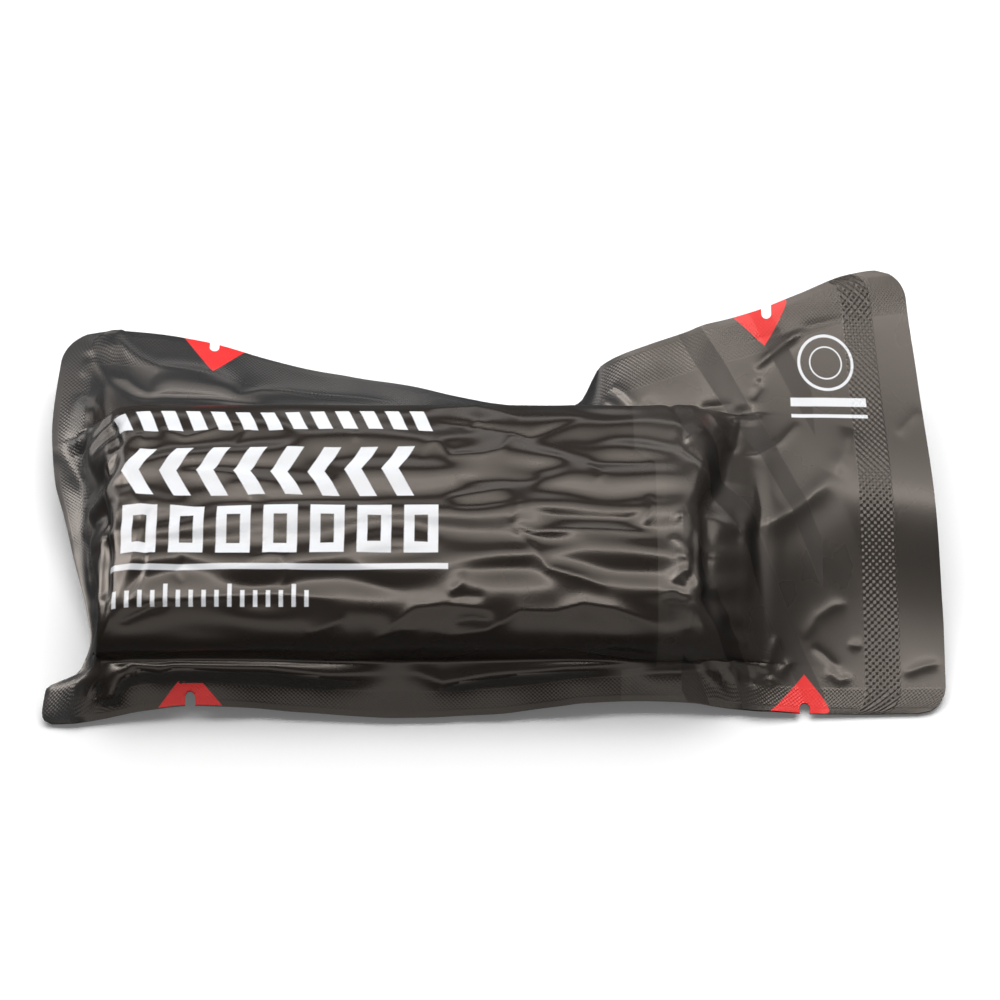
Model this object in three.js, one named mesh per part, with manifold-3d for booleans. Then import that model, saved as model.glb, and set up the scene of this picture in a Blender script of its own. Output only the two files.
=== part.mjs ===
// An emergency trauma bandage in its vacuum-sealed pouch, lying on its back.
// Two thin films are sealed to each other round a flat rim and drawn tight over a flattened roll of bandage.
// The roll fills the left of the pouch; the right is an empty tail whose far side stands up off the surface.
// Millimetres: +X along the pouch towards the tail, +Y towards its far side, +Z up, origin mid-underside.
import * as THREE from "three";
import { mergeVertices } from "three/addons/utils/BufferGeometryUtils.js";
import Module from "manifold-3d";

const wasm = await Module();
wasm.setup();

// Sizes of the bandage roll
const ROLL_LENGTH = 150;
const ROLL_WIDTH = 70;
const ROLL_THICKNESS = 34;
const ROLL_SQUARENESS = 2.5; // power of the roll's rounded section: 2 is an ellipse, more is boxier
const ROLL_END_ROUNDING = 4;
const BANDAGE_LAYER = 2.6;
const LAYER_GAP = 0.5;
const WOUND_TURNS = 4;
const SETTLED = 1.2; // how far the roll's underside is pressed flat by its own rest

// Sizes of the pouch, as formed round the roll
const LEFT_MARGIN = 16; // from the pouch's left edge to the roll
const TAIL_LENGTH = 64; // from the roll to the pouch's right edge
const NEAR_MARGIN = 10; // the typical reach of the near rim beyond the roll
const FAR_MARGIN = 34; // the widest reach of the far rim, at the tail
const FILM = 0.6;
const SEAL_GAP = 0.3; // between the two sealed films
const ROLL_CLEARANCE = 0.5; // between the roll and the films
const CORNER_RADIUS = 9;

// Tear notches
const NOTCH_WIDTH = 2.6;
const NOTCH_DEPTH = 3;

// Folds
const FOLD_RISE = 4; // the tallest fold
const FOLD_SPREAD = 6; // its half width

// Steps of the grid that each film is made on
const LEFT_STEPS = 6;
const ROLL_STEPS = 25;
const TAIL_STEPS = 15;
const NEAR_STEPS = 3;
const WRAP_STEPS = 17;
const FAR_STEPS = 5;
const EDGE_CROWDING = 1.6; // 1 spaces the steps beside the pouch's edges evenly, more crowds them to the edge
const ROLL_SEGMENTS = 24;
const ROLL_END_SEGMENTS = 2;
const NOTCH_SEGMENTS = 10;

const POUCH_LENGTH = LEFT_MARGIN + ROLL_LENGTH + TAIL_LENGTH;
const ZONES = {
  left: { start: 0, length: LEFT_MARGIN },
  roll: { start: LEFT_MARGIN, length: ROLL_LENGTH },
  tail: { start: LEFT_MARGIN + ROLL_LENGTH, length: TAIL_LENGTH },
};
const FILM_SHARES = { nearRim: 0.1, farRim: 0.8 }; // where, across the film, each rim meets the roll's wrap
const ROLL_CENTRE_Z = FILM + ROLL_CLEARANCE + ROLL_THICKNESS / 2 - SETTLED;
const WRAP_HALF_THICKNESS = ROLL_THICKNESS / 2 + ROLL_CLEARANCE;

// The pouch's rim, from left to right. share: place within its zone. nearReach and farReach: how far the rim
// reaches beyond the roll, as shares of NEAR_MARGIN and FAR_MARGIN. nearZ and farZ: heights of its edges, as
// shares of ROLL_THICKNESS.
const RIM = [
  { zone: "left", share: 0.0, nearReach: 1.2, nearZ: 0.04, farZ: 0.36, farReach: 0.92 },
  { zone: "left", share: 0.4, nearReach: 1.2, nearZ: 0.05, farZ: 0.36, farReach: 0.93 },
  { zone: "left", share: 0.65, nearReach: 1.15, nearZ: 0.05, farZ: 0.35, farReach: 0.94 },
  { zone: "left", share: 0.85, nearReach: 1.12, nearZ: 0.06, farZ: 0.34, farReach: 0.95 },
  { zone: "roll", share: 0.0, nearReach: 1.1, nearZ: 0.07, farZ: 0.34, farReach: 0.94 },
  { zone: "roll", share: 0.07, nearReach: 0.95, nearZ: 0.12, farZ: 0.31, farReach: 0.92 },
  { zone: "roll", share: 0.16, nearReach: 0.86, nearZ: 0.15, farZ: 0.28, farReach: 0.85 },
  { zone: "roll", share: 0.33, nearReach: 0.95, nearZ: 0.1, farZ: 0.19, farReach: 0.67 },
  { zone: "roll", share: 0.5, nearReach: 1.06, nearZ: 0.07, farZ: 0.14, farReach: 0.56 },
  { zone: "roll", share: 0.66, nearReach: 1.0, nearZ: 0.09, farZ: 0.09, farReach: 0.42 },
  { zone: "roll", share: 0.77, nearReach: 0.85, nearZ: 0.14, farZ: 0.09, farReach: 0.36 },
  { zone: "roll", share: 0.81, nearReach: 0.8, nearZ: 0.16, farZ: 0.18, farReach: 0.36 },
  { zone: "roll", share: 0.85, nearReach: 0.78, nearZ: 0.16, farZ: 0.5, farReach: 0.5 },
  { zone: "roll", share: 0.93, nearReach: 0.73, nearZ: 0.15, farZ: 0.66, farReach: 0.58 },
  { zone: "roll", share: 1.0, nearReach: 0.75, nearZ: 0.13, farZ: 0.75, farReach: 0.65 },
  { zone: "tail", share: 0.07, nearReach: 0.78, nearZ: 0.1, farZ: 0.79, farReach: 0.68 },
  { zone: "tail", share: 0.16, nearReach: 0.82, nearZ: 0.07, farZ: 0.82, farReach: 0.7 },
  { zone: "tail", share: 0.28, nearReach: 0.9, nearZ: 0.05, farZ: 0.86, farReach: 0.75 },
  { zone: "tail", share: 0.5, nearReach: 0.92, nearZ: 0.04, farZ: 0.92, farReach: 0.87 },
  { zone: "tail", share: 0.8, nearReach: 0.9, nearZ: 0.03, farZ: 0.98, farReach: 1.02 },
  { zone: "tail", share: 1.0, nearReach: 0.88, nearZ: 0.03, farZ: 1.0, farReach: 1.05 },
];

// The films' wrap round the roll, from left to right. nearRoot and farRoot: heights at which the rim leaves the
// wrap. wide and thick: the wrap's size. All but share are shares of the roll's own sizes.
const WRAP = [
  { zone: "left", share: 0.0, nearRoot: 0.22, farRoot: 0.32, wide: 0.9, thick: 0.0 },
  { zone: "left", share: 0.4, nearRoot: 0.27, farRoot: 0.33, wide: 0.9, thick: 0.06 },
  { zone: "left", share: 0.65, nearRoot: 0.32, farRoot: 0.34, wide: 0.92, thick: 0.45 },
  { zone: "left", share: 0.85, nearRoot: 0.36, farRoot: 0.35, wide: 0.97, thick: 0.85 },
  { zone: "roll", share: 0.0, nearRoot: 0.38, farRoot: 0.36, wide: 1.0, thick: 1.0 },
  { zone: "roll", share: 0.16, nearRoot: 0.42, farRoot: 0.38, wide: 1.0, thick: 1.0 },
  { zone: "roll", share: 0.5, nearRoot: 0.38, farRoot: 0.38, wide: 1.0, thick: 1.0 },
  { zone: "roll", share: 0.77, nearRoot: 0.42, farRoot: 0.4, wide: 1.0, thick: 1.0 },
  { zone: "roll", share: 0.85, nearRoot: 0.4, farRoot: 0.5, wide: 1.0, thick: 1.0 },
  { zone: "roll", share: 1.0, nearRoot: 0.34, farRoot: 0.6, wide: 1.0, thick: 1.0 },
  { zone: "tail", share: 0.07, nearRoot: 0.29, farRoot: 0.62, wide: 0.98, thick: 0.82 },
  { zone: "tail", share: 0.16, nearRoot: 0.24, farRoot: 0.65, wide: 0.95, thick: 0.45 },
  { zone: "tail", share: 0.28, nearRoot: 0.18, farRoot: 0.67, wide: 0.92, thick: 0.18 },
  { zone: "tail", share: 0.5, nearRoot: 0.14, farRoot: 0.68, wide: 0.9, thick: 0.02 },
  { zone: "tail", share: 1.0, nearRoot: 0.12, farRoot: 0.66, wide: 0.9, thick: 0.0 },
];

// How far each end's edge is drawn in towards the roll, across the film from its near edge to its far one.
// left is a share of LEFT_MARGIN, right a share of TAIL_LENGTH.
const ENDS = [
  { across: 0.0, left: 0.02, right: 0.0 },
  { across: 0.07, left: 0.08, right: 0.0 },
  { across: 0.11, left: 0.62, right: 0.0 },
  { across: 0.18, left: 0.76, right: 0.0 },
  { across: 0.26, left: 0.66, right: 0.005 },
  { across: 0.38, left: 0.42, right: 0.015 },
  { across: 0.5, left: 0.2, right: 0.03 },
  { across: 0.6, left: 0.0, right: 0.045 },
  { across: 0.75, left: -0.1, right: 0.07 },
  { across: 1.0, left: 0.0, right: 0.11 },
];

// The rounding of each corner, as a share of CORNER_RADIUS. The near left corner is curled, so it is tighter.
const CORNERS = { nearLeft: 0.3, farLeft: 1.1, nearRight: 0.8, farRight: 0.85 };

// Where the tear notches are: along the pouch, as a share of its length, and on which edge.
const NOTCHES = [
  { along: 0.166, edge: "near" },
  { along: 0.174, edge: "far" },
  { along: 0.843, edge: "near" },
  { along: 0.811, edge: "far" },
];

// The main folds. from and to: places along the pouch and across it, as shares of its length and of its width
// there. rise and spread: shares of FOLD_RISE and FOLD_SPREAD, with a valley's rise below 0. on: both films where
// they are sealed, or the front one over the roll.
const FOLDS = [
  { on: "both", from: [0.03, 0.97], to: [0.06, 0.79], rise: 0.5, spread: 0.6 },
  { on: "both", from: [0.0, 0.63], to: [0.07, 0.45], rise: -0.6, spread: 0.6 },
  { on: "both", from: [0.03, 0.84], to: [0.02, 0.68], rise: 0.6, spread: 1.2 },
  { on: "both", from: [0.0, 0.03], to: [0.06, 0.1], rise: 0.8, spread: 0.7 },
  { on: "both", from: [0.08, 0.12], to: [0.12, 0.04], rise: 0.4, spread: 0.6 },
  { on: "front", from: [0.08, 0.56], to: [0.12, 0.26], rise: 0.4, spread: 0.6 },
  { on: "front", from: [0.12, 0.8], to: [0.31, 0.84], rise: 0.3, spread: 0.6 },
  { on: "front", from: [0.29, 0.37], to: [0.45, 0.2], rise: 0.3, spread: 0.7 },
  { on: "front", from: [0.33, 0.62], to: [0.51, 0.56], rise: 0.3, spread: 0.7 },
  { on: "front", from: [0.51, 0.56], to: [0.67, 0.64], rise: 0.3, spread: 0.7 },
  { on: "front", from: [0.57, 0.53], to: [0.7, 0.44], rise: 0.3, spread: 0.7 },
  { on: "front", from: [0.37, 0.13], to: [0.51, 0.15], rise: 0.5, spread: 0.6 },
  { on: "front", from: [0.51, 0.15], to: [0.6, 0.12], rise: 0.3, spread: 0.6 },
  { on: "both", from: [0.39, 0.09], to: [0.47, 0.04], rise: 0.3, spread: 0.6 },
  { on: "both", from: [0.64, 0.95], to: [0.72, 0.8], rise: 0.5, spread: 0.8 },
  { on: "both", from: [0.73, 0.6], to: [0.79, 0.74], rise: 0.7, spread: 0.6 },
  { on: "both", from: [0.79, 0.68], to: [0.785, 0.47], rise: -0.5, spread: 0.9 },
  { on: "both", from: [0.785, 0.47], to: [0.76, 0.15], rise: -0.4, spread: 0.8 },
  { on: "both", from: [0.77, 0.39], to: [0.84, 0.45], rise: 0.5, spread: 1.0 },
  { on: "both", from: [0.84, 0.45], to: [0.91, 0.62], rise: 0.5, spread: 1.1 },
  { on: "both", from: [0.87, 0.86], to: [0.9, 0.68], rise: -0.4, spread: 1.2 },
];

/** A smooth curve through a table's column, level at the ends and never overshooting between rows. */
function smoothColumn(places, values) {
  const count = places.length;
  const slopes = places.slice(1).map((place, i) => (values[i + 1] - values[i]) / (place - places[i]));
  const tangents = values.map((_, i) => {
    if (i === 0 || i === count - 1 || slopes[i - 1] * slopes[i] <= 0) return 0;
    return (2 * slopes[i - 1] * slopes[i]) / (slopes[i - 1] + slopes[i]);
  });
  return (place) => {
    if (place <= places[0]) return values[0];
    if (place >= places[count - 1]) return values[count - 1];
    const i = places.findIndex((next, k) => k > 0 && place <= next) - 1;
    const gap = places[i + 1] - places[i];
    const t = (place - places[i]) / gap;
    const rise = t * t * (3 - 2 * t);
    const leave = t * (1 - t) * (1 - t) * gap;
    const arrive = t * t * (t - 1) * gap;
    return values[i] + (values[i + 1] - values[i]) * rise + tangents[i] * leave + tangents[i + 1] * arrive;
  };
}

/** The smooth columns of a table whose rows are placed by zone and share. */
function columnsOf(table) {
  const places = table.map(({ zone, share }) => ZONES[zone].start + ZONES[zone].length * share);
  const names = Object.keys(table[0]).filter((name) => name !== "zone" && name !== "share");
  return Object.fromEntries(names.map((name) => [name, smoothColumn(places, table.map((row) => row[name]))]));
}

const rim = columnsOf(RIM);
const wrap = columnsOf(WRAP);
const endPlaces = ENDS.map((row) => row.across);
const leftDraw = smoothColumn(endPlaces, ENDS.map((row) => row.left));
const rightDraw = smoothColumn(endPlaces, ENDS.map((row) => row.right));

/** The pouch's section at a place along it: its sizes in millimetres, and its share of the roll's thickness. */
function sectionAt(along) {
  return {
    nearEdge: -ROLL_WIDTH / 2 - rim.nearReach(along) * NEAR_MARGIN,
    nearZ: rim.nearZ(along) * ROLL_THICKNESS,
    farZ: rim.farZ(along) * ROLL_THICKNESS,
    farEdge: ROLL_WIDTH / 2 + rim.farReach(along) * FAR_MARGIN,
    nearRoot: wrap.nearRoot(along) * ROLL_THICKNESS,
    farRoot: wrap.farRoot(along) * ROLL_THICKNESS,
    halfWidth: (wrap.wide(along) * ROLL_WIDTH) / 2,
    fullness: wrap.thick(along),
  };
}

/** How far a corner's rounding takes an end's edge in, at a distance from the pouch's side. */
function cornerInset(distance, radius) {
  return distance >= radius ? 0 : radius - Math.sqrt(radius * radius - (radius - distance) ** 2);
}

/** Where a grid line lies along the pouch at one share across it, with ends drawn in and corners rounded. */
function alongAt(line, across, section) {
  const sideDistance = Math.min(across, 1 - across) * (section.farEdge - section.nearEdge);
  const isNear = across < 0.5;
  const leftRadius = CORNER_RADIUS * (isNear ? CORNERS.nearLeft : CORNERS.farLeft);
  const rightRadius = CORNER_RADIUS * (isNear ? CORNERS.nearRight : CORNERS.farRight);
  const leftFade = Math.max(0, 1 - line / LEFT_MARGIN);
  const rightFade = Math.max(0, (line - (POUCH_LENGTH - TAIL_LENGTH)) / TAIL_LENGTH) ** 2;
  const left = leftDraw(across) * LEFT_MARGIN + cornerInset(sideDistance, leftRadius);
  const right = rightDraw(across) * TAIL_LENGTH + cornerInset(sideDistance, rightRadius);
  return line + left * leftFade - right * rightFade;
}

/** A power of a number that keeps its sign. */
const signedPower = (value, power) => Math.sign(value) * Math.abs(value) ** power;

/** The angle below the roll's widest line at which a rim meets the wrap: negative where the rim is higher. */
function rootAngle(root) {
  return Math.asin(signedPower((ROLL_CENTRE_Z - root) / WRAP_HALF_THICKNESS, ROLL_SQUARENESS / 2));
}

/**
 * A point of the film where it wraps the roll, as [y, z]. side is 1 on the front and -1 on the back.
 * round goes from 0 at the near rim's root to 1 at the far rim's, over the roll in front and under it behind.
 */
function wrapPoint(section, round, side, offset) {
  const near = rootAngle(section.nearRoot) * section.fullness;
  const far = rootAngle(section.farRoot) * section.fullness;
  const sweep = Math.PI + side * (near + far);
  const angle = Math.PI + near - side * round * sweep;
  const power = 2 / ROLL_SQUARENESS;
  const across = signedPower(Math.cos(angle), power);
  const rise = signedPower(Math.sin(angle), power);
  const seal = section.nearRoot + ((section.farRoot - section.nearRoot) * (across + 1)) / 2;
  const centre = seal + (ROLL_CENTRE_Z - seal) * section.fullness;
  return [
    across * (section.halfWidth + ROLL_CLEARANCE + offset),
    centre + rise * WRAP_HALF_THICKNESS * section.fullness + side * (SEAL_GAP / 2 + offset),
  ];
}

/** A point of a film's section as [y, z], before folding. offset: distance outwards from the sealed face. */
function sectionPoint(section, film, side, offset) {
  const { nearRim, farRim } = FILM_SHARES;
  const lift = side * (SEAL_GAP / 2 + offset);
  const blend = (from, to, t) => from.map((value, i) => value + (to[i] - value) * t);
  if (film < nearRim) {
    return blend([section.nearEdge, section.nearZ + lift], wrapPoint(section, 0, side, offset), film / nearRim);
  }
  if (film > farRim) {
    const edge = [section.farEdge, section.farZ + lift];
    return blend(edge, wrapPoint(section, 1, side, offset), (1 - film) / (1 - farRim));
  }
  return wrapPoint(section, (film - nearRim) / (farRim - nearRim), side, offset);
}

/** The height that one fold adds at a place, in millimetres. It fades out beside the fold and past its ends. */
function foldHeight(fold, along, across, width) {
  const scale = [POUCH_LENGTH, width];
  const start = fold.from.map((share, i) => share * scale[i]);
  const run = fold.to.map((share, i) => share * scale[i] - start[i]);
  const offset = [along - start[0], across * width - start[1]];
  const t = Math.min(1, Math.max(0, (offset[0] * run[0] + offset[1] * run[1]) / (run[0] ** 2 + run[1] ** 2)));
  const distance = Math.hypot(offset[0] - t * run[0], offset[1] - t * run[1]);
  return fold.rise * FOLD_RISE * Math.exp(-((distance / (fold.spread * FOLD_SPREAD)) ** 2));
}

/** The height that the folds on one film, or on both, add at a place. */
function foldsAt(on, along, across, width) {
  const folds = FOLDS.filter((fold) => fold.on === on);
  return folds.reduce((sum, fold) => sum + foldHeight(fold, along, across, width), 0);
}

/** Evenly spaced values from 0 to 1. */
const steps = (count) => Array.from({ length: count + 1 }, (_, i) => i / count);

/** Values from 0 to 1 that lie closer together towards 0, for the rounding of the pouch's corners. */
const closingSteps = (count) => steps(count).map((t) => t ** EDGE_CROWDING);

const gridLines = [
  ...closingSteps(LEFT_STEPS).map((t) => t * LEFT_MARGIN),
  ...steps(ROLL_STEPS).slice(1).map((t) => LEFT_MARGIN + t * ROLL_LENGTH),
  ...closingSteps(TAIL_STEPS).reverse().slice(1).map((t) => POUCH_LENGTH - t * TAIL_LENGTH),
];
const wrapShare = FILM_SHARES.farRim - FILM_SHARES.nearRim;
const gridAcross = [
  ...closingSteps(NEAR_STEPS).map((t) => t * FILM_SHARES.nearRim),
  ...steps(WRAP_STEPS).slice(1).map((t) => FILM_SHARES.nearRim + t * wrapShare),
  ...closingSteps(FAR_STEPS).reverse().slice(1).map((t) => 1 - t * (1 - FILM_SHARES.farRim)),
];

/** A point of a film, folded, and never below the surface that the pack lies on. */
function filmPoint(line, film, side, offset) {
  const section = sectionAt(line);
  const [y, z] = sectionPoint(section, film, side, offset);
  const width = section.farEdge - section.nearEdge;
  const across = Math.min(1, Math.max(0, (y - section.nearEdge) / width));
  const overRoll = Math.max(0, 1 - (y / (section.halfWidth + ROLL_CLEARANCE)) ** 2);
  let folded = z + foldsAt("both", line, across, width) * (1 - overRoll * section.fullness);
  if (side > 0) folded += Math.max(0, foldsAt("front", line, across, width)) * Math.sqrt(overRoll);
  const floor = side > 0 ? FILM + SEAL_GAP + offset : FILM - offset;
  return new THREE.Vector3(alongAt(line, across, section), y, Math.max(folded, floor));
}

/** A closed sheet of film, from its inner face at the seal to its outer face. */
function filmGeometry(side) {
  const rows = gridLines.length;
  const columns = gridAcross.length;
  const positions = [];
  for (const offset of [0, FILM])
    for (const line of gridLines)
      for (const across of gridAcross) positions.push(...filmPoint(line, across, side, offset).toArray());
  const index = [];
  const vertex = (layer, row, at) => layer * rows * columns + row * columns + at;
  const addQuad = (a, b, c, d) => index.push(...(side > 0 ? [a, b, c, a, c, d] : [a, c, b, a, d, c]));
  for (let row = 0; row < rows - 1; row++)
    for (let at = 0; at < columns - 1; at++) {
      addQuad(vertex(1, row, at), vertex(1, row + 1, at), vertex(1, row + 1, at + 1), vertex(1, row, at + 1));
      addQuad(vertex(0, row, at), vertex(0, row, at + 1), vertex(0, row + 1, at + 1), vertex(0, row + 1, at));
    }
  for (let row = 0; row < rows - 1; row++) {
    addQuad(vertex(0, row, 0), vertex(0, row + 1, 0), vertex(1, row + 1, 0), vertex(1, row, 0));
    const end = columns - 1;
    addQuad(vertex(0, row, end), vertex(1, row, end), vertex(1, row + 1, end), vertex(0, row + 1, end));
  }
  for (let at = 0; at < columns - 1; at++) {
    addQuad(vertex(0, 0, at), vertex(1, 0, at), vertex(1, 0, at + 1), vertex(0, 0, at + 1));
    const end = rows - 1;
    addQuad(vertex(0, end, at), vertex(0, end, at + 1), vertex(1, end, at + 1), vertex(1, end, at));
  }
  return new THREE.BufferGeometry()
    .setAttribute("position", new THREE.Float32BufferAttribute(positions, 3))
    .setIndex(index);
}

/** A geometry as a manifold solid. */
function solidOf(geometry) {
  const bare = new THREE.BufferGeometry()
    .setAttribute("position", geometry.getAttribute("position").clone())
    .setIndex(geometry.index ? [...geometry.index.array] : null);
  const merged = mergeVertices(bare, 1e-4);
  return new wasm.Manifold(
    new wasm.Mesh({
      numProp: 3,
      vertProperties: merged.attributes.position.array,
      triVerts: new Uint32Array(merged.index.array),
    }),
  );
}

/** A manifold solid as a geometry. */
function geometryOf(solid) {
  const { numProp, vertProperties, triVerts } = solid.getMesh();
  const positions = [];
  for (let i = 0; i < vertProperties.length; i += numProp) positions.push(...vertProperties.subarray(i, i + 3));
  const geometry = new THREE.BufferGeometry()
    .setAttribute("position", new THREE.Float32BufferAttribute(positions, 3))
    .setIndex([...triVerts]);
  geometry.computeVertexNormals();
  return geometry;
}

/** The cutter of one tear notch: an upright slot with a round end, reaching in from the pouch's edge. */
function notchCutter({ along, edge }) {
  const line = along * POUCH_LENGTH;
  const section = sectionAt(line);
  const radius = NOTCH_WIDTH / 2;
  const edgeY = edge === "near" ? section.nearEdge : section.farEdge;
  const inwards = edge === "near" ? 1 : -1;
  const endY = edgeY + inwards * (NOTCH_DEPTH - radius);
  const shape = new THREE.Shape();
  shape.moveTo(line - radius, edgeY - inwards * NOTCH_DEPTH);
  shape.lineTo(line - radius, endY);
  shape.absarc(line, endY, radius, Math.PI, 0, inwards > 0);
  shape.lineTo(line + radius, edgeY - inwards * NOTCH_DEPTH);
  const height = 2 * ROLL_THICKNESS;
  const options = { depth: height, bevelEnabled: false, curveSegments: NOTCH_SEGMENTS };
  const geometry = new THREE.ExtrudeGeometry(shape, options);
  return solidOf(geometry.translate(0, 0, -height / 4));
}

/** One film of the pouch with its tear notches cut. */
function notchedFilm(side) {
  return NOTCHES.reduce((film, notch) => film.subtract(notchCutter(notch)), solidOf(filmGeometry(side)));
}

/** A point of the roll's outline, shrunk inwards by a distance, and pressed flat underneath. */
function rollOutlinePoint(angle, inset) {
  const power = 2 / ROLL_SQUARENESS;
  const cos = Math.cos(angle);
  const sin = Math.sin(angle);
  const halfWidth = ROLL_WIDTH / 2 - inset;
  const halfThickness = ROLL_THICKNESS / 2 - inset;
  const y = Math.sign(cos) * Math.abs(cos) ** power * halfWidth;
  const z = ROLL_CENTRE_Z + Math.sign(sin) * Math.abs(sin) ** power * halfThickness;
  return new THREE.Vector2(y, Math.max(z, FILM + ROLL_CLEARANCE + inset));
}

/** The wound bandage: one strip that winds inwards from the roll's outside to its folded core. */
function woundRoll() {
  const pitch = BANDAGE_LAYER + LAYER_GAP;
  const windings = WOUND_TURNS * ROLL_SEGMENTS;
  const woundPoint = (i, depth) => {
    const angle = (2 * Math.PI * i) / ROLL_SEGMENTS;
    return rollOutlinePoint(angle, (pitch * i) / ROLL_SEGMENTS + depth);
  };
  const outer = Array.from({ length: windings + ROLL_SEGMENTS }, (_, i) => woundPoint(i, 0));
  const inner = Array.from({ length: windings }, (_, i) => woundPoint(i, BANDAGE_LAYER));
  const strip = new THREE.Shape([...outer, ...inner.reverse()]);
  const geometry = new THREE.ExtrudeGeometry(strip, { depth: ROLL_LENGTH, bevelEnabled: false });
  geometry.applyMatrix4(new THREE.Matrix4().makeBasis(
    new THREE.Vector3(0, 1, 0),
    new THREE.Vector3(0, 0, 1),
    new THREE.Vector3(1, 0, 0),
  ));
  return solidOf(geometry.translate(LEFT_MARGIN, 0, 0));
}

/** The block that rounds the roll's ends: its outline, drawn in at each end. */
function rollEnvelope() {
  const insets = steps(ROLL_END_SEGMENTS).map((t) => {
    const turn = (t * Math.PI) / 2;
    return { along: ROLL_END_ROUNDING * (1 - Math.cos(turn)), inset: ROLL_END_ROUNDING * (1 - Math.sin(turn)) };
  });
  const rings = [
    ...insets,
    ...insets.map(({ along, inset }) => ({ along: ROLL_LENGTH - along, inset })).reverse(),
  ];
  const positions = rings.flatMap(({ along, inset }) =>
    steps(ROLL_SEGMENTS).slice(1).flatMap((t) => {
      const point = rollOutlinePoint(2 * Math.PI * t, inset);
      return [LEFT_MARGIN + along, point.x, point.y];
    }),
  );
  const index = [];
  const vertex = (ring, at) => ring * ROLL_SEGMENTS + (at % ROLL_SEGMENTS);
  for (let ring = 0; ring < rings.length - 1; ring++)
    for (let at = 0; at < ROLL_SEGMENTS; at++) {
      const [a, b] = [vertex(ring, at), vertex(ring, at + 1)];
      const [c, d] = [vertex(ring + 1, at + 1), vertex(ring + 1, at)];
      index.push(a, b, c, a, c, d);
    }
  for (let at = 1; at < ROLL_SEGMENTS - 1; at++) {
    index.push(vertex(0, 0), vertex(0, at + 1), vertex(0, at));
    const end = rings.length - 1;
    index.push(vertex(end, 0), vertex(end, at), vertex(end, at + 1));
  }
  const geometry = new THREE.BufferGeometry()
    .setAttribute("position", new THREE.Float32BufferAttribute(positions, 3))
    .setIndex(index);
  return solidOf(geometry);
}

const filmMaterial = new THREE.MeshStandardMaterial({ color: 0x2b2725, roughness: 0.36, metalness: 0.1 });
const bandageMaterial = new THREE.MeshStandardMaterial({ color: 0xd8cdb6, roughness: 0.9, metalness: 0 });

/** A named piece of the pack. */
function addPiece(group, name, solid, material) {
  const mesh = new THREE.Mesh(geometryOf(solid), material);
  mesh.name = name;
  group.add(mesh);
}

const pack = new THREE.Group();
addPiece(pack, "front_film", notchedFilm(1), filmMaterial);
addPiece(pack, "back_film", notchedFilm(-1), filmMaterial);
addPiece(pack, "bandage_roll", woundRoll().intersect(rollEnvelope()), bandageMaterial);

// The pack's origin is the middle of its underside.
const bounds = new THREE.Box3().setFromObject(pack);
const middle = bounds.getCenter(new THREE.Vector3());
pack.position.set(-middle.x, -middle.y, -bounds.min.z);

export default pack;
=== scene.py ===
"""An emergency trauma bandage in its vacuum-sealed pouch, lying on its back.

Two thin films are sealed to each other round a flat rim and wrinkled tight over a wound roll of bandage.
Metres, in the row frame: +X along the pouch towards its tail, +Y towards its far side, +Z up.
A place on a film is given in film coordinates: along the pouch from its left edge, and across the film from
the line that runs over the middle of the roll.
"""

import logging
import math
from dataclasses import dataclass
from enum import Enum
from typing import Optional, Sequence, Union

import bpy
import numpy as np
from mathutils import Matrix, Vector


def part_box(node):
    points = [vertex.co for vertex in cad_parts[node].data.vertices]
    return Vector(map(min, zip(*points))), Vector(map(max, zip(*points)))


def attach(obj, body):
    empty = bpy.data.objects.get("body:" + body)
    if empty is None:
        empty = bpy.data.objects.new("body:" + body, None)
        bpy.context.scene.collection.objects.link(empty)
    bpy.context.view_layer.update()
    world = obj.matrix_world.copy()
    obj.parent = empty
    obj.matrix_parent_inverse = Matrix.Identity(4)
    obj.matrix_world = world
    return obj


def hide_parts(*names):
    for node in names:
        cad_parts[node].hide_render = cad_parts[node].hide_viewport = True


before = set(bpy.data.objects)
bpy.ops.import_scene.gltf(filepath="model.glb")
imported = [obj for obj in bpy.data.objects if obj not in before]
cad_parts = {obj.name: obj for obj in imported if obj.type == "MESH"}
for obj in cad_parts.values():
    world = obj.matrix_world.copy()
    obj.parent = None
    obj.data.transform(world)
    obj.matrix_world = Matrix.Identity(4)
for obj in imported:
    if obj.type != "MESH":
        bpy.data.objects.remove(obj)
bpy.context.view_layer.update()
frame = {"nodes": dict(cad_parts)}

LOG = logging.getLogger("trauma_bandage")
MM = 0.001
FILM_MAP = "film"
SIDES_MAP = "sides"
BAKE_MAP = "OFBake"


class Zone(Enum):
    """A stretch of the pouch: where it starts and how long it is."""

    LEFT = (0.0, 0.016)
    ROLL = (0.016, 0.150)
    TAIL = (0.166, 0.064)

    @property
    def start(self) -> float:
        """Where this stretch starts along the pouch."""
        return self.value[0]

    @property
    def length(self) -> float:
        """How long this stretch is."""
        return self.value[1]

    def at(self, share: float) -> float:
        """The place along the pouch at a share of this stretch."""
        return self.start + self.length * share


class Side(Enum):
    """Which film: its value is the direction in which it faces out."""

    FRONT = 1
    BACK = -1


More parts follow.
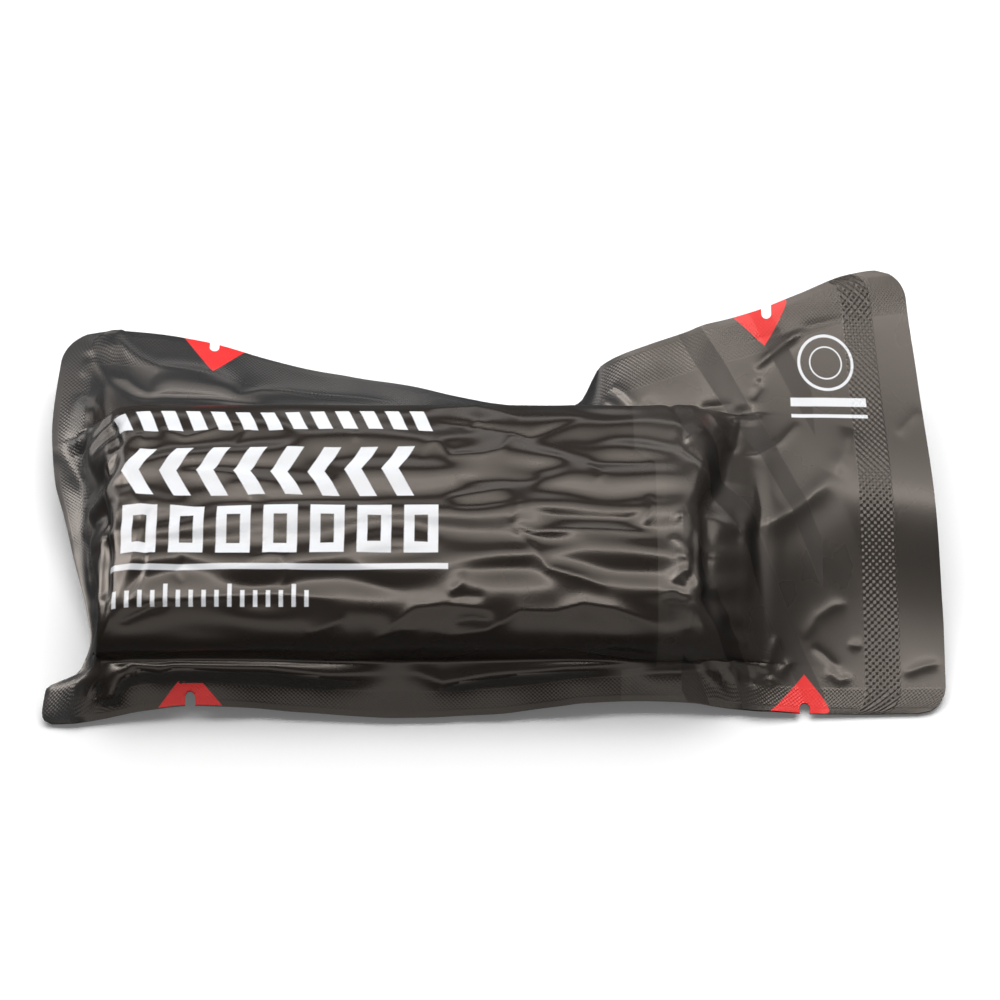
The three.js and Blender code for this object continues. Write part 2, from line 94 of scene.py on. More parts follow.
# The pouch's rim from left to right: zone, share of it, then the near and far reach beyond the roll as shares
# of the margins, with the near and the far edge's heights as shares of the roll's thickness between them.
RIM = (
    (Zone.LEFT, 0.0, 1.2, 0.04, 0.36, 0.92),
    (Zone.LEFT, 0.4, 1.2, 0.05, 0.36, 0.93),
    (Zone.LEFT, 0.65, 1.15, 0.05, 0.35, 0.94),
    (Zone.LEFT, 0.85, 1.12, 0.06, 0.34, 0.95),
    (Zone.ROLL, 0.0, 1.1, 0.07, 0.34, 0.94),
    (Zone.ROLL, 0.07, 0.95, 0.12, 0.31, 0.92),
    (Zone.ROLL, 0.16, 0.86, 0.15, 0.28, 0.85),
    (Zone.ROLL, 0.33, 0.95, 0.1, 0.19, 0.67),
    (Zone.ROLL, 0.5, 1.06, 0.07, 0.14, 0.56),
    (Zone.ROLL, 0.66, 1.0, 0.09, 0.09, 0.42),
    (Zone.ROLL, 0.77, 0.85, 0.14, 0.09, 0.36),
    (Zone.ROLL, 0.81, 0.8, 0.16, 0.18, 0.36),
    (Zone.ROLL, 0.85, 0.78, 0.16, 0.5, 0.5),
    (Zone.ROLL, 0.93, 0.73, 0.15, 0.66, 0.58),
    (Zone.ROLL, 1.0, 0.75, 0.13, 0.75, 0.65),
    (Zone.TAIL, 0.07, 0.78, 0.1, 0.79, 0.68),
    (Zone.TAIL, 0.16, 0.82, 0.07, 0.82, 0.7),
    (Zone.TAIL, 0.28, 0.9, 0.05, 0.86, 0.75),
    (Zone.TAIL, 0.5, 0.92, 0.04, 0.92, 0.87),
    (Zone.TAIL, 0.8, 0.9, 0.03, 0.98, 1.02),
    (Zone.TAIL, 1.0, 0.88, 0.03, 1.0, 1.05),
)

# The films' wrap round the roll: zone, share of it, the heights at which the near and the far rim leave it,
# then the wrap's width and thickness. All four are shares of the roll's own sizes.
WRAP = (
    (Zone.LEFT, 0.0, 0.22, 0.32, 0.9, 0.0),
    (Zone.LEFT, 0.4, 0.27, 0.33, 0.9, 0.06),
    (Zone.LEFT, 0.65, 0.32, 0.34, 0.92, 0.38),
    (Zone.LEFT, 0.85, 0.36, 0.35, 0.97, 0.68),
    (Zone.ROLL, 0.0, 0.38, 0.36, 0.99, 0.82),
    (Zone.ROLL, 0.03, 0.39, 0.36, 1.0, 0.95),
    (Zone.ROLL, 0.07, 0.4, 0.37, 1.0, 1.0),
    (Zone.ROLL, 0.16, 0.42, 0.38, 1.0, 1.0),
    (Zone.ROLL, 0.5, 0.38, 0.38, 1.0, 1.0),
    (Zone.ROLL, 0.77, 0.42, 0.4, 1.0, 1.0),
    (Zone.ROLL, 0.85, 0.4, 0.5, 1.0, 1.0),
    (Zone.ROLL, 1.0, 0.34, 0.6, 1.0, 1.0),
    (Zone.TAIL, 0.07, 0.29, 0.62, 0.98, 0.82),
    (Zone.TAIL, 0.16, 0.24, 0.65, 0.95, 0.45),
    (Zone.TAIL, 0.28, 0.18, 0.67, 0.92, 0.18),
    (Zone.TAIL, 0.5, 0.14, 0.68, 0.9, 0.02),
    (Zone.TAIL, 1.0, 0.12, 0.66, 0.9, 0.0),
)

# How far each end's edge is drawn in: share of the way across, share of the left margin, share of the tail.
ENDS = (
    (0.0, 0.02, 0.0),
    (0.07, 0.08, 0.0),
    (0.11, 0.62, 0.0),
    (0.18, 0.76, 0.0),
    (0.26, 0.66, 0.005),
    (0.38, 0.42, 0.015),
    (0.5, 0.2, 0.03),
    (0.6, 0.0, 0.045),
    (0.75, -0.1, 0.07),
    (1.0, 0.0, 0.11),
)

# The tear notches: where along the pouch, as a share of its length, and whether on the far edge.
NOTCHES = ((0.166, False), (0.174, True), (0.843, False), (0.811, True))


def signed_power(value: np.ndarray, power: float) -> np.ndarray:
    """A power of numbers that keeps their sign."""
    return np.sign(value) * np.abs(value) ** power


@dataclass(frozen=True)
class SmoothTable:
    """Smooth curves through a table's columns, level at the ends and never overshooting between rows.

    Args:
        places: where each row stands, in rising order.
        values: the rows, one column for each curve.
    """

    places: np.ndarray
    values: np.ndarray

    @classmethod
    def of_zones(cls, rows: Sequence[tuple]) -> "SmoothTable":
        """A table whose rows start with a zone and a share of it."""
        places = [zone.at(share) for zone, share, *_ in rows]
        return cls(np.array(places), np.array([row[2:] for row in rows]))

    def _tangents(self) -> np.ndarray:
        """The slope at each row, flat wherever a column turns.

        Returns:
            A row of slopes for each row of the table.
        """
        slopes = np.diff(self.values, axis=0) / np.diff(self.places)[:, None]
        before, after = slopes[:-1], slopes[1:]
        turning = before * after <= 0
        total = np.where(turning, 1.0, before + after)
        inner = np.where(turning, 0.0, 2 * before * after / total)
        level = np.zeros((1, self.values.shape[1]))
        return np.concatenate([level, inner, level])

    def at(self, place: np.ndarray) -> np.ndarray:
        """The columns at some places.

        Args:
            place: the places, of any shape.

        Returns:
            One value for each column, first, at each place.
        """
        held = np.clip(place, self.places[0], self.places[-1])
        row = np.clip(np.searchsorted(self.places, held) - 1, 0, len(self.places) - 2)
        gap = self.places[row + 1] - self.places[row]
        t = ((held - self.places[row]) / gap)[..., None]
        low, high = self.values[row], self.values[row + 1]
        tangents = self._tangents()
        leave = tangents[row] * t * (1 - t) ** 2 * gap[..., None]
        arrive = tangents[row + 1] * t * t * (t - 1) * gap[..., None]
        smooth = low + (high - low) * t * t * (3 - 2 * t) + leave + arrive
        return np.moveaxis(smooth, -1, 0)


@dataclass(frozen=True)
class Section:
    """The pouch's section at each of its grid lines, as columns of numbers.

    Args:
        near_edge: where the near edge lies across the pouch.
        near_z: the height of the near edge.
        far_z: the height of the far edge.
        far_edge: where the far edge lies.
        near_root: the height at which the near rim leaves the wrap.
        far_root: the height at which the far rim leaves it.
        half_width: half the wrap's width.
        fullness: the wrap's thickness as a share of the roll's.
    """

    near_edge: np.ndarray
    near_z: np.ndarray
    far_z: np.ndarray
    far_edge: np.ndarray
    near_root: np.ndarray
    far_root: np.ndarray
    half_width: np.ndarray
    fullness: np.ndarray


@dataclass(frozen=True)
class PouchForm:
    """The smooth shape of the pouch before it wrinkles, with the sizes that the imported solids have.

    Args:
        origin: the row frame's place of the pouch's left edge, on the line under the middle of the roll.
        roll_length: the roll's size along the pouch.
        roll_width: its size across the pouch.
        roll_thickness: its height.
        squareness: the power of its rounded section, 2 for an ellipse and more for a squarer one.
        centre_z: the height of its middle.
        left_margin: from the pouch's left edge to the roll.
        tail_length: from the roll to the pouch's right edge.
        near_margin: what the near reaches of RIM are shares of.
        far_margin: what the far reaches of RIM are shares of.
        clearance: between the roll and the films.
        corner_radius: how round the pouch's corners are.
        corners: shares of that radius at near left, far left, near right and far right.
        film: the thickness of a film.
        seal_gap: between the two films where they are sealed.
        near_rim: the share of the way across at which the near rim ends.
        far_rim: the share at which the far rim starts.
        near_columns: the grid's steps over the near rim.
        wrap_columns: its steps over the wrap.
        far_columns: its steps over the far rim.
        line_count: its lines along the pouch.
        arc_samples: how many points measure the wrap.
    """

    origin: Vector
    roll_length: float = Zone.ROLL.length
    roll_width: float = 0.070
    roll_thickness: float = 0.034
    squareness: float = 2.5
    centre_z: float = 0.0169
    left_margin: float = Zone.LEFT.length
    tail_length: float = Zone.TAIL.length
    near_margin: float = 0.010
    far_margin: float = 0.034
    clearance: float = 0.0005
    corner_radius: float = 0.009
    corners: tuple = (0.3, 1.1, 0.8, 0.85)
    film: float = 0.00024
    seal_gap: float = 0.00002
    near_rim: float = 0.1
    far_rim: float = 0.8
    near_columns: int = 18
    wrap_columns: int = 138
    far_columns: int = 44
    line_count: int = 353
    arc_samples: int = 600

    @property
    def length(self) -> float:
        """The pouch's whole length."""
        return self.left_margin + self.roll_length + self.tail_length

    @property
    def lines(self) -> np.ndarray:
        """Where the films' grid lines lie along the pouch."""
        return np.linspace(0.0, self.length, self.line_count)

    @property
    def wrap_half_thickness(self) -> float:
        """Half the thickness of the films' wrap, inside."""
        return self.roll_thickness / 2 + self.clearance

    def section_at(self, lines: np.ndarray) -> Section:
        """The pouch's section at some lines along it.

        Args:
            lines: places along the pouch.

        Returns:
            The section, a row for each line.
        """
        near_reach, near_z, far_z, far_reach = SmoothTable.of_zones(RIM).at(lines[:, None])
        near_root, far_root, wide, thick = SmoothTable.of_zones(WRAP).at(lines[:, None])
        return Section(
            near_edge=-self.roll_width / 2 - near_reach * self.near_margin,
            near_z=near_z * self.roll_thickness,
            far_z=far_z * self.roll_thickness,
            far_edge=self.roll_width / 2 + far_reach * self.far_margin,
            near_root=near_root * self.roll_thickness,
            far_root=far_root * self.roll_thickness,
            half_width=wide * self.roll_width / 2,
            fullness=thick,
        )

    def _corner_inset(self, distance: np.ndarray, radius: np.ndarray) -> np.ndarray:
        """How far a corner's rounding takes an end's edge in, at a distance from the pouch's side."""
        within = np.minimum(distance, radius)
        return radius - np.sqrt(np.maximum(radius**2 - (radius - within) ** 2, 0.0))

    def _along_at(self, lines: np.ndarray, across: np.ndarray, section: Section) -> np.ndarray:
        """Where each grid line lies along the pouch, with the ends' edges drawn in and the corners rounded.

        Args:
            lines: the grid lines' places along the pouch.
            across: each grid point's share of the way across the pouch.
            section: the pouch's section at the lines.

        Returns:
            The place along the pouch of each grid point.
        """
        near_left, far_left, near_right, far_right = (self.corner_radius * c for c in self.corners)
        side = np.minimum(across, 1 - across) * (section.far_edge - section.near_edge)
        is_near = across < 0.5
        rows = np.array(ENDS)
        left_draw, right_draw = SmoothTable(rows[:, 0], rows[:, 1:]).at(across)
        left = left_draw * self.left_margin
        left = left + self._corner_inset(side, np.where(is_near, near_left, far_left))
        right = right_draw * self.tail_length
        right = right + self._corner_inset(side, np.where(is_near, near_right, far_right))
        line = lines[:, None]
        left_fade = np.maximum(0.0, 1 - line / self.left_margin)
        right_fade = np.maximum(0.0, (line - (self.length - self.tail_length)) / self.tail_length) ** 2
        return line + left * left_fade - right * right_fade

    def _root_angle(self, root: np.ndarray) -> np.ndarray:
        """The angle below the roll's widest line at which a rim meets the wrap."""
        return np.arcsin(signed_power((self.centre_z - root) / self.wrap_half_thickness, self.squareness / 2))

    def _wrap_point(self, section: Section, share: np.ndarray, side: Side, offset: float) -> tuple:
        """Points of the film's wrap round the roll.

        Args:
            section: the pouch's section.
            share: the share of the way from the near rim to the far one.
            side: which film.
            offset: how far out from the film's inner face.

        Returns:
            Their places across the pouch and their heights.
        """
        near = self._root_angle(section.near_root) * section.fullness
        far = self._root_angle(section.far_root) * section.fullness
        sweep = math.pi + side.value * (near + far)
        angle = math.pi + near - side.value * share * sweep
        across = signed_power(np.cos(angle), 2 / self.squareness)
        rise = signed_power(np.sin(angle), 2 / self.squareness)
        seal = section.near_root + (section.far_root - section.near_root) * (across + 1) / 2
        centre = seal + (self.centre_z - seal) * section.fullness
        y = across * (section.half_width + self.clearance + offset)
        z = centre + rise * self.wrap_half_thickness * section.fullness
        return y, z + side.value * (self.seal_gap / 2 + offset)

    def _section_point(self, section: Section, film: np.ndarray, side: Side, offset: float) -> tuple:
        """Points of the film's section, from edge to edge.

        Args:
            section: the pouch's section.
            film: the share of the way across the film.
            side: which film.
            offset: how far out from the film's inner face.

        Returns:
            Their places across the pouch and their heights.
        """
        lift = side.value * (self.seal_gap / 2 + offset)
        share = np.clip((film - self.near_rim) / (self.far_rim - self.near_rim), 0.0, 1.0)
        y, z = self._wrap_point(section, share, side, offset)
        near = np.clip(film / self.near_rim, 0.0, 1.0)
        far = np.clip((1 - film) / (1 - self.far_rim), 0.0, 1.0)
        y = section.near_edge + (y - section.near_edge) * near
        z = section.near_z + lift + (z - section.near_z - lift) * near
        y = section.far_edge + (y - section.far_edge) * far
        z = section.far_z + lift + (z - section.far_z - lift) * far
        return y, z

    def film_shares(self, side: Side) -> np.ndarray:
        """The share across the film of each grid point, evenly spaced along each zone of the section.

        Args:
            side: which film.

        Returns:
            A row for each grid line.
        """
        section = self.section_at(self.lines)
        dense = np.linspace(self.near_rim, self.far_rim, self.arc_samples)
        shares = np.broadcast_to(dense, (self.line_count, self.arc_samples))
        y, z = self._section_point(section, shares, side, self.film)
        arc = np.concatenate([np.zeros((self.line_count, 1)), np.hypot(np.diff(y), np.diff(z)).cumsum(1)], 1)
        wrap = [np.interp(np.linspace(0, row[-1], self.wrap_columns + 1), row, dense) for row in arc]
        near = np.linspace(0, self.near_rim, self.near_columns + 1)[:-1]
        far = np.linspace(self.far_rim, 1, self.far_columns + 1)[1:]
        return np.array([np.concatenate([near, row, far]) for row in wrap])

    def film_points(self, side: Side) -> np.ndarray:
        """The outer face of one film as a grid of points, smooth and clear of the surface that it lies on.

        Args:
            side: which film.

        Returns:
            Points in the row frame, by line, by column.
        """
        lines = self.lines
        section = self.section_at(lines)
        y, z = self._section_point(section, self.film_shares(side), side, self.film)
        across = np.clip((y - section.near_edge) / (section.far_edge - section.near_edge), 0.0, 1.0)
        x = self._along_at(lines, across, section)
        floor = 2 * self.film + self.seal_gap if side is Side.FRONT else 0.0
        points = np.stack([x, y, np.maximum(z, floor)], -1)
        return points + np.array([self.origin.x, self.origin.y, 0.0])

    def arcs(self, side: Side) -> tuple:
        """How far each grid point is across the film, in metres.

        Args:
            side: which film.

        Returns:
            The distances from the near edge, from the far edge, and from the line over the roll's middle.
        """
        section = self.section_at(self.lines)
        y, z = self._section_point(section, self.film_shares(side), side, self.film)
        steps = np.hypot(np.diff(y), np.diff(z)).cumsum(1)
        near_in = np.concatenate([np.zeros((self.line_count, 1)), steps], 1)
        middle = np.array([np.interp(0.0, row_y, row_arc) for row_y, row_arc in zip(y, near_in)])
        return near_in, near_in[:, -1:] - near_in, near_in - middle[:, None]


@dataclass(frozen=True)
class Crease:
    """One fold of the film, along a line of places in film coordinates.

    Args:
        places: (along, across) in millimetres.
        rise: the fold's height in millimetres, below 0 for a valley.
        spread: its half width in millimetres.
        crispness: 2 is round, 1 comes to an edge.
        taper: the share of its length over which each end fades.
    """

    places: tuple
    rise: float
    spread: float = 3.0
    crispness: float = 1.5
    taper: float = 0.3

    def height(self, along: np.ndarray, across: np.ndarray) -> np.ndarray:
        """The height that the fold adds at each place.

        Args:
            along: places along the pouch, in metres.
            across: places across the film, in metres.

        Returns:
            Heights in metres.
        """
        points = np.array(self.places) * MM
        runs = np.diff(points, axis=0)
        lengths = np.hypot(runs[:, 0], runs[:, 1])
        starts = np.concatenate([[0.0], lengths.cumsum()])
        height = np.zeros(along.shape)
        for start, run, length, before in zip(points, runs, lengths, starts):
            t = ((along - start[0]) * run[0] + (across - start[1]) * run[1]) / length**2
            held = np.clip(t, 0.0, 1.0)
            distance = np.hypot(along - start[0] - held * run[0], across - start[1] - held * run[1])
            place = (before + held * length) / starts[-1]
            ends = np.clip(np.minimum(place, 1 - place) / self.taper, 0.0, 1.0)
            profile = np.exp(-((distance / (self.spread * MM)) ** self.crispness))
            height = np.maximum(height, ends * (2 - ends) * profile)
        return self.rise * MM * height


# The folds that stand out on the front film: places in millimetres of film coordinates, rise, spread,
# crispness and taper.
FOLDS = (
    # Left end.
    (((13.0, 34.0), (14.5, 22.0), (15.0, 5.0), (15.0, -15.0), (14.0, -32.0)), -1.6, 4.0, 2.0, 0.15),
    (((6.2, 65.8), (7.9, 62.6), (7.9, 58.7)), 0.5, 2.0, 1.6),
    (((7.9, 58.7), (11.7, 56.8), (13.2, 56.1), (14.5, 56.5)), 0.5, 1.0, 1.1),
    (((7.4, 57.7), (6.4, 54.7), (6.5, 51.8)), 0.3, 1.0, 1.3),
    (((8.8, 62.2), (15.1, 72.4), (18.4, 71.2), (25.1, 68.9), (36.7, 66.6), (44.7, 65.0)), 0.7, 2.2, 1.5),
    (((12.1, 58.7), (17.6, 62.1), (23.0, 59.9), (28.5, 60.7)), 0.35, 1.0, 1.1),
    (((24.0, 64.5), (34.0, 63.0), (48.0, 61.5)), 1.3, 4.5, 2.0),
    (((13.9, 58.6), (20.4, 58.7), (27.0, 59.4), (37.1, 58.3), (44.5, 57.8), (56.5, 57.0)), -0.6, 1.3, 1.4),
    (((12.0, 55.1), (10.8, 47.1), (10.0, 41.4), (11.0, 27.9), (10.9, 19.5), (11.1, 11.3)), 1.5, 1.7, 1.1),
    (((12.3, 54.5), (15.3, 28.3), (18.3, 19.5), (19.1, 15.5), (17.4, 9.8), (13.8, 7.2)), -1.1, 2.0, 1.5),
    (((10.0, 9.6), (11.1, -1.2), (11.7, -11.4), (14.0, -21.0), (15.0, -29.0)), 1.3, 1.8, 1.4),
    (((16.7, 0.9), (17.8, -15.7), (17.9, -26.9), (17.0, -34.2)), -1.0, 1.5, 1.3),
    (((9.0, 45.8), (7.6, 39.7), (6.9, 33.6), (7.0, 26.7)), 1.5, 3.0, 2.0),
    (((19.5, 17.4), (17.5, 14.0), (13.2, 11.0)), 0.5, 1.1, 1.1),
    (((20.4, 28.5), (20.3, 21.0), (21.2, 12.0), (22.8, 5.7), (23.8, 1.8), (26.7, -3.9), (26.9, -8.8),
     (25.4, -14.6), (24.4, -19.5), (22.8, -24.1), (20.1, -29.4)), 0.6, 1.2, 1.1),
    (((19.6, -29.9), (18.1, -33.6), (15.7, -38.6), (12.5, -44.5)), 0.5, 1.2, 1.2),
    (((23.9, 20.6), (26.0, 16.7)), 0.4, 0.9, 1.2),
    (((30.0, -0.3), (28.5, -5.3), (28.1, -13.8), (27.4, -19.2), (25.7, -23.6),
     (23.6, -27.6)), -0.6, 1.2, 1.3),
    (((29.1, -13.5), (28.8, -18.4), (27.5, -23.1), (25.3, -27.4), (21.3, -31.1)), 0.5, 1.1, 1.1),
    (((23.3, -31.6), (29.3, -28.6), (41.8, -27.6), (51.7, -27.1)), 0.35, 1.1, 1.2),
    (((20.8, -33.1), (23.3, -33.1), (29.3, -30.4), (34.8, -28.9)), -0.5, 1.0, 1.2),
    (((36.7, -16.0), (37.3, -18.7), (35.2, -21.0), (37.5, -24.1)), -0.35, 0.8, 1.2),
    (((1.3, 31.0), (4.8, 23.4), (7.8, 17.2), (12.2, 7.2)), -1.0, 2.2, 1.7),
    (((20.2, 1.5), (20.4, -9.6), (20.2, -19.4), (20.0, -28.1)), 0.5, 1.2, 1.2),
    (((8.5, 12.2), (6.8, 3.9), (5.9, -4.6), (5.6, -15.6)), 0.5, 1.6, 1.5),
    # Near margin on the left.
    (((12.0, -46.6), (17.4, -51.0), (22.8, -47.8), (26.6, -48.7), (31.1, -49.4), (34.9, -48.0),
     (41.0, -48.5), (58.1, -49.2), (72.9, -51.2), (91.3, -51.7)), 1.8, 3.2, 1.5),
    (((22.8, -48.4), (20.1, -52.7), (17.0, -57.4)), 1.6, 3.0, 1.5),
    (((14.0, -50.0), (15.0, -54.0)), -1.0, 1.6, 1.6),
    # The lump's left half.
    (((44.5, 58.9), (53.3, 62.0), (60.7, 62.1), (75.9, 60.9), (90.0, 60.2)), 0.5, 1.5, 1.2),
    (((29.1, 23.0), (36.0, 19.2), (43.8, 21.8), (48.7, 25.5)), 0.45, 1.3, 1.2),
    (((48.7, 25.1), (52.0, 21.4), (48.7, 17.0)), 0.4, 1.0, 1.0),
    (((79.4, 20.6), (80.0, 17.0)), 0.3, 1.0, 1.4),
    (((35.1, 7.9), (47.6, 7.3), (55.3, 5.4), (60.1, 6.0)), 0.35, 1.1, 1.1),
    (((47.2, 3.6), (53.8, 3.9), (60.4, 4.2)), 0.25, 0.9, 1.1),
    (((27.7, 9.8), (41.6, 10.4), (63.2, 9.4)), -0.35, 1.6, 1.6),
    (((42.1, -0.9), (66.1, -0.6), (87.8, -0.9)), -0.4, 1.7, 1.6),
    (((53.0, -0.0), (58.0, -0.9)), 0.35, 1.0, 1.2),
    (((52.9, -11.9), (59.9, -11.0)), 0.3, 2.0, 1.6),
    (((53.1, -18.1), (59.0, -16.5), (62.5, -17.3), (63.6, -21.8), (61.2, -25.6)), 0.4, 1.2, 1.1),
    (((42.0, -27.6), (61.2, -26.6), (76.7, -28.1)), 0.3, 1.2, 1.2),
    (((67.6, -36.6), (72.9, -34.7), (78.4, -32.4)), 0.5, 1.8, 1.3),
    (((84.3, -38.4), (91.6, -35.5), (96.8, -35.2)), 0.5, 1.4, 1.1),
    # The lump's right half.
    (((97.0, 31.0), (104.0, 31.0), (110.7, 32.5), (116.6, 29.0), (121.7, 25.5)), 0.6, 1.5, 1.2),
    (((98.5, 26.0), (111.4, 23.4), (124.2, 19.5), (139.7, 26.0)), -0.4, 1.2, 1.4),
    (((96.0, 11.4), (97.9, 16.3), (100.5, 17.0), (104.1, 12.3), (112.0, 12.6), (117.1, 14.3),
     (119.9, 19.9), (123.4, 17.7)), 0.5, 1.2, 1.1),
    (((107.8, 23.0), (110.9, 25.1), (114.0, 23.0)), 0.4, 1.0, 1.1),
    (((105.2, 5.4), (116.6, 5.7), (127.4, 5.4)), -0.45, 1.8, 1.6),
    (((138.4, 10.7), (147.1, 11.0), (155.4, 10.7)), -0.45, 1.8, 1.6),
    (((102.2, -0.3), (111.5, 0.9), (119.8, 2.7)), 0.4, 1.3, 1.2),
    (((104.2, -2.7), (111.5, -2.4), (119.8, -1.2)), -0.3, 1.2, 1.4),
    (((119.3, -7.6), (120.6, -4.4), (121.8, -1.5)), 0.35, 1.0, 1.1),
    (((122.8, -4.0), (130.4, -5.4), (137.7, -6.1), (148.0, -6.4), (155.3, -4.2)), -0.35, 1.5, 1.5),
    (((119.3, -7.6), (125.3, -9.9), (139.1, -9.6), (156.2, -10.5)), 0.5, 1.1, 1.1),
    (((119.3, -7.6), (124.8, -14.3), (127.3, -18.4), (128.8, -20.0), (137.5, -22.6),
     (144.0, -25.1)), 0.5, 1.2, 1.1),
    (((153.7, 0.9), (155.1, -2.9), (152.7, -8.8)), 0.45, 1.0, 1.0),
    (((138.4, 10.0), (142.9, 6.9), (140.8, 3.8)), 0.4, 1.0, 1.1),
    (((107.1, -21.0), (107.1, -24.1), (103.8, -26.6)), 0.4, 0.9, 1.1),
    (((104.3, -27.4), (108.6, -27.1), (113.1, -27.4)), -0.3, 1.0, 1.4),
    (((86.6, -37.4), (89.6, -34.4), (94.9, -29.9), (102.8, -28.9), (112.1, -30.1),
     (115.3, -31.1)), 0.6, 1.4, 1.1),
    (((104.3, -33.4), (109.6, -32.9), (115.1, -33.4)), -0.6, 1.4, 1.5),
    (((98.3, -35.5), (103.8, -37.2), (112.8, -35.5), (117.8, -33.1), (121.3, -30.6), (130.0, -30.9),
     (137.5, -28.8), (145.0, -30.1), (157.5, -34.9)), 0.6, 1.5, 1.2),
    (((117.1, -39.0), (126.3, -41.1), (131.6, -40.0), (140.1, -43.7), (154.3, -47.7),
     (164.5, -50.2)), 0.5, 1.2, 1.1),
    (((89.3, -51.4), (96.1, -51.7), (102.2, -53.7), (113.0, -51.5), (132.7, -49.0),
     (151.9, -49.2)), 1.3, 2.6, 1.4),
    # The crumpled right end.
    (((146.0, 53.2), (149.6, 49.1), (153.0, 44.5)), 0.45, 1.1, 1.1),
    (((145.8, 51.8), (148.6, 47.6), (151.2, 43.5)), -0.4, 1.0, 1.2),
    (((143.6, 50.2), (146.8, 46.5), (148.6, 43.0)), 0.35, 0.9, 1.1),
    (((154.0, 47.0), (160.2, 37.4), (162.7, 29.6), (163.3, 24.2), (162.6, 19.1), (163.7, 14.7),
     (167.1, 10.2), (171.0, 7.5)), -0.9, 1.4, 1.3),
    (((163.3, 17.0), (165.6, 19.1), (168.7, 22.3)), 0.6, 1.2, 1.0),
    (((166.1, 24.3), (167.4, 30.0), (170.1, 40.1), (174.9, 37.9), (179.4, 36.6)), -0.5, 1.2, 1.3),
    (((169.4, 32.0), (172.9, 25.3), (177.0, 21.0)), 0.55, 1.4, 1.0),
    (((177.0, 21.0), (177.8, 27.1), (179.1, 34.8)), 0.65, 1.4, 1.0),
    (((198.5, 57.9), (193.7, 54.5), (187.7, 50.0), (183.4, 46.4)), 1.0, 1.7, 1.2),
    (((184.2, 43.8), (184.9, 41.3), (182.1, 37.3)), -0.6, 1.2, 1.3),
    (((179.9, 36.9), (179.0, 29.0), (177.5, 20.0), (175.0, 11.6), (171.7, 3.8), (169.0, -3.2),
     (168.4, -13.3), (168.4, -25.4), (169.0, -33.9)), -4.0, 3.8, 2.0),
    (((179.1, 31.6), (182.3, 30.8), (184.8, 31.7)), 0.5, 0.8, 1.1),
    (((179.2, 20.6), (182.6, 19.9), (186.5, 22.2), (190.1, 25.2), (194.8, 30.8)), 0.7, 1.2, 1.1),
    (((168.3, -9.4), (169.0, -12.6), (169.5, -15.4)), 0.5, 1.0, 1.3),
    (((161.1, -5.6), (162.8, -6.5)), 0.45, 0.9, 1.2),
    (((158.9, -11.3), (161.9, -13.5), (164.8, -16.8)), 0.55, 1.1, 1.0),
    (((160.3, -16.2), (164.3, -17.8), (165.8, -17.4)), 0.45, 1.0, 1.1),
    (((159.5, -23.8), (162.0, -21.0), (164.7, -20.5)), 0.55, 1.0, 1.0),
    (((159.5, -23.8), (162.7, -25.1), (164.7, -20.7)), -0.4, 0.9, 1.1),
    (((156.2, -26.4), (160.2, -25.9), (161.9, -27.1), (164.2, -27.1)), 0.55, 0.9, 1.1),
    (((156.9, -27.9), (160.4, -27.7), (163.9, -28.6)), -0.4, 0.8, 1.2),
    (((164.2, -28.1), (163.9, -32.1), (163.2, -36.6)), 0.6, 1.2, 1.1),
    (((172.2, -30.3), (176.0, -29.6), (179.8, -28.1)), -0.8, 1.8, 1.5),
    (((173.3, -33.5), (176.3, -32.5), (179.2, -32.2)), 0.5, 1.0, 1.1),
    (((164.2, -48.5), (167.3, -45.0), (172.3, -42.7), (181.8, -37.0), (186.4, -37.4)), 0.7, 1.2, 1.1),
    (((151.9, -51.9), (159.5, -52.1), (168.4, -52.4)), -0.5, 1.4, 1.4),
    (((169.9, -50.8), (170.5, -53.3)), 0.5, 1.1, 1.2),
    (((173.0, -46.5), (173.3, -50.6)), -0.5, 1.1, 1.3),
    (((176.1, -42.3), (176.4, -46.1)), 0.6, 1.2, 1.2),
    (((179.9, -40.1), (180.5, -43.4)), -0.5, 1.1, 1.3),
    (((184.6, -38.7), (185.4, -40.9)), 0.5, 1.1, 1.2),
    (((186.9, -38.2), (189.8, -33.8), (191.1, -35.0)), 0.5, 0.9, 1.2),
    (((183.6, -38.4), (185.1, -32.7), (187.0, -26.9)), 0.45, 1.2, 1.3),
    # The tail.
    (((170.0, -9.0), (190.0, 3.0), (204.0, 13.0), (216.0, 13.0), (262.0, 6.0)), 5.0, 22.0, 2.0),
    (((166.0, 60.0), (200.0, 67.0), (250.0, 78.0)), 1.0, 7.0, 2.0),
    (((180.4, 53.4), (192.1, 56.4), (198.8, 58.1), (206.8, 59.9), (210.5, 60.6)), -0.3, 0.9, 1.3),
    (((178.3, -2.5), (186.0, 2.3), (190.1, 5.2), (194.0, 8.1), (199.8, 12.7),
     (204.3, 17.2)), 1.2, 3.2, 1.5),
    (((203.0, 16.0), (206.6, 22.1), (208.8, 29.2)), 0.7, 2.6, 1.6),
    (((196.1, -28.3), (199.6, -31.1), (202.9, -34.4)), -0.35, 0.9, 1.2),
    (((205.6, -27.8), (208.7, -28.5)), 0.3, 0.9, 1.3),
    (((199.5, -35.0), (203.0, -37.5), (206.1, -36.4)), 0.35, 0.9, 1.2),
    (((221.7, 27.6), (225.3, 31.4), (229.5, 35.0)), 0.35, 1.5, 1.3),
    (((219.2, -35.4), (224.1, -33.5), (228.7, -32.4)), 0.35, 1.2, 1.3),
    (((193.8, -27.0), (197.3, -21.2), (201.6, -18.2), (205.7, -17.3)), 0.3, 1.5, 1.3),
)
CREASES = tuple(Crease(*row) for row in FOLDS)


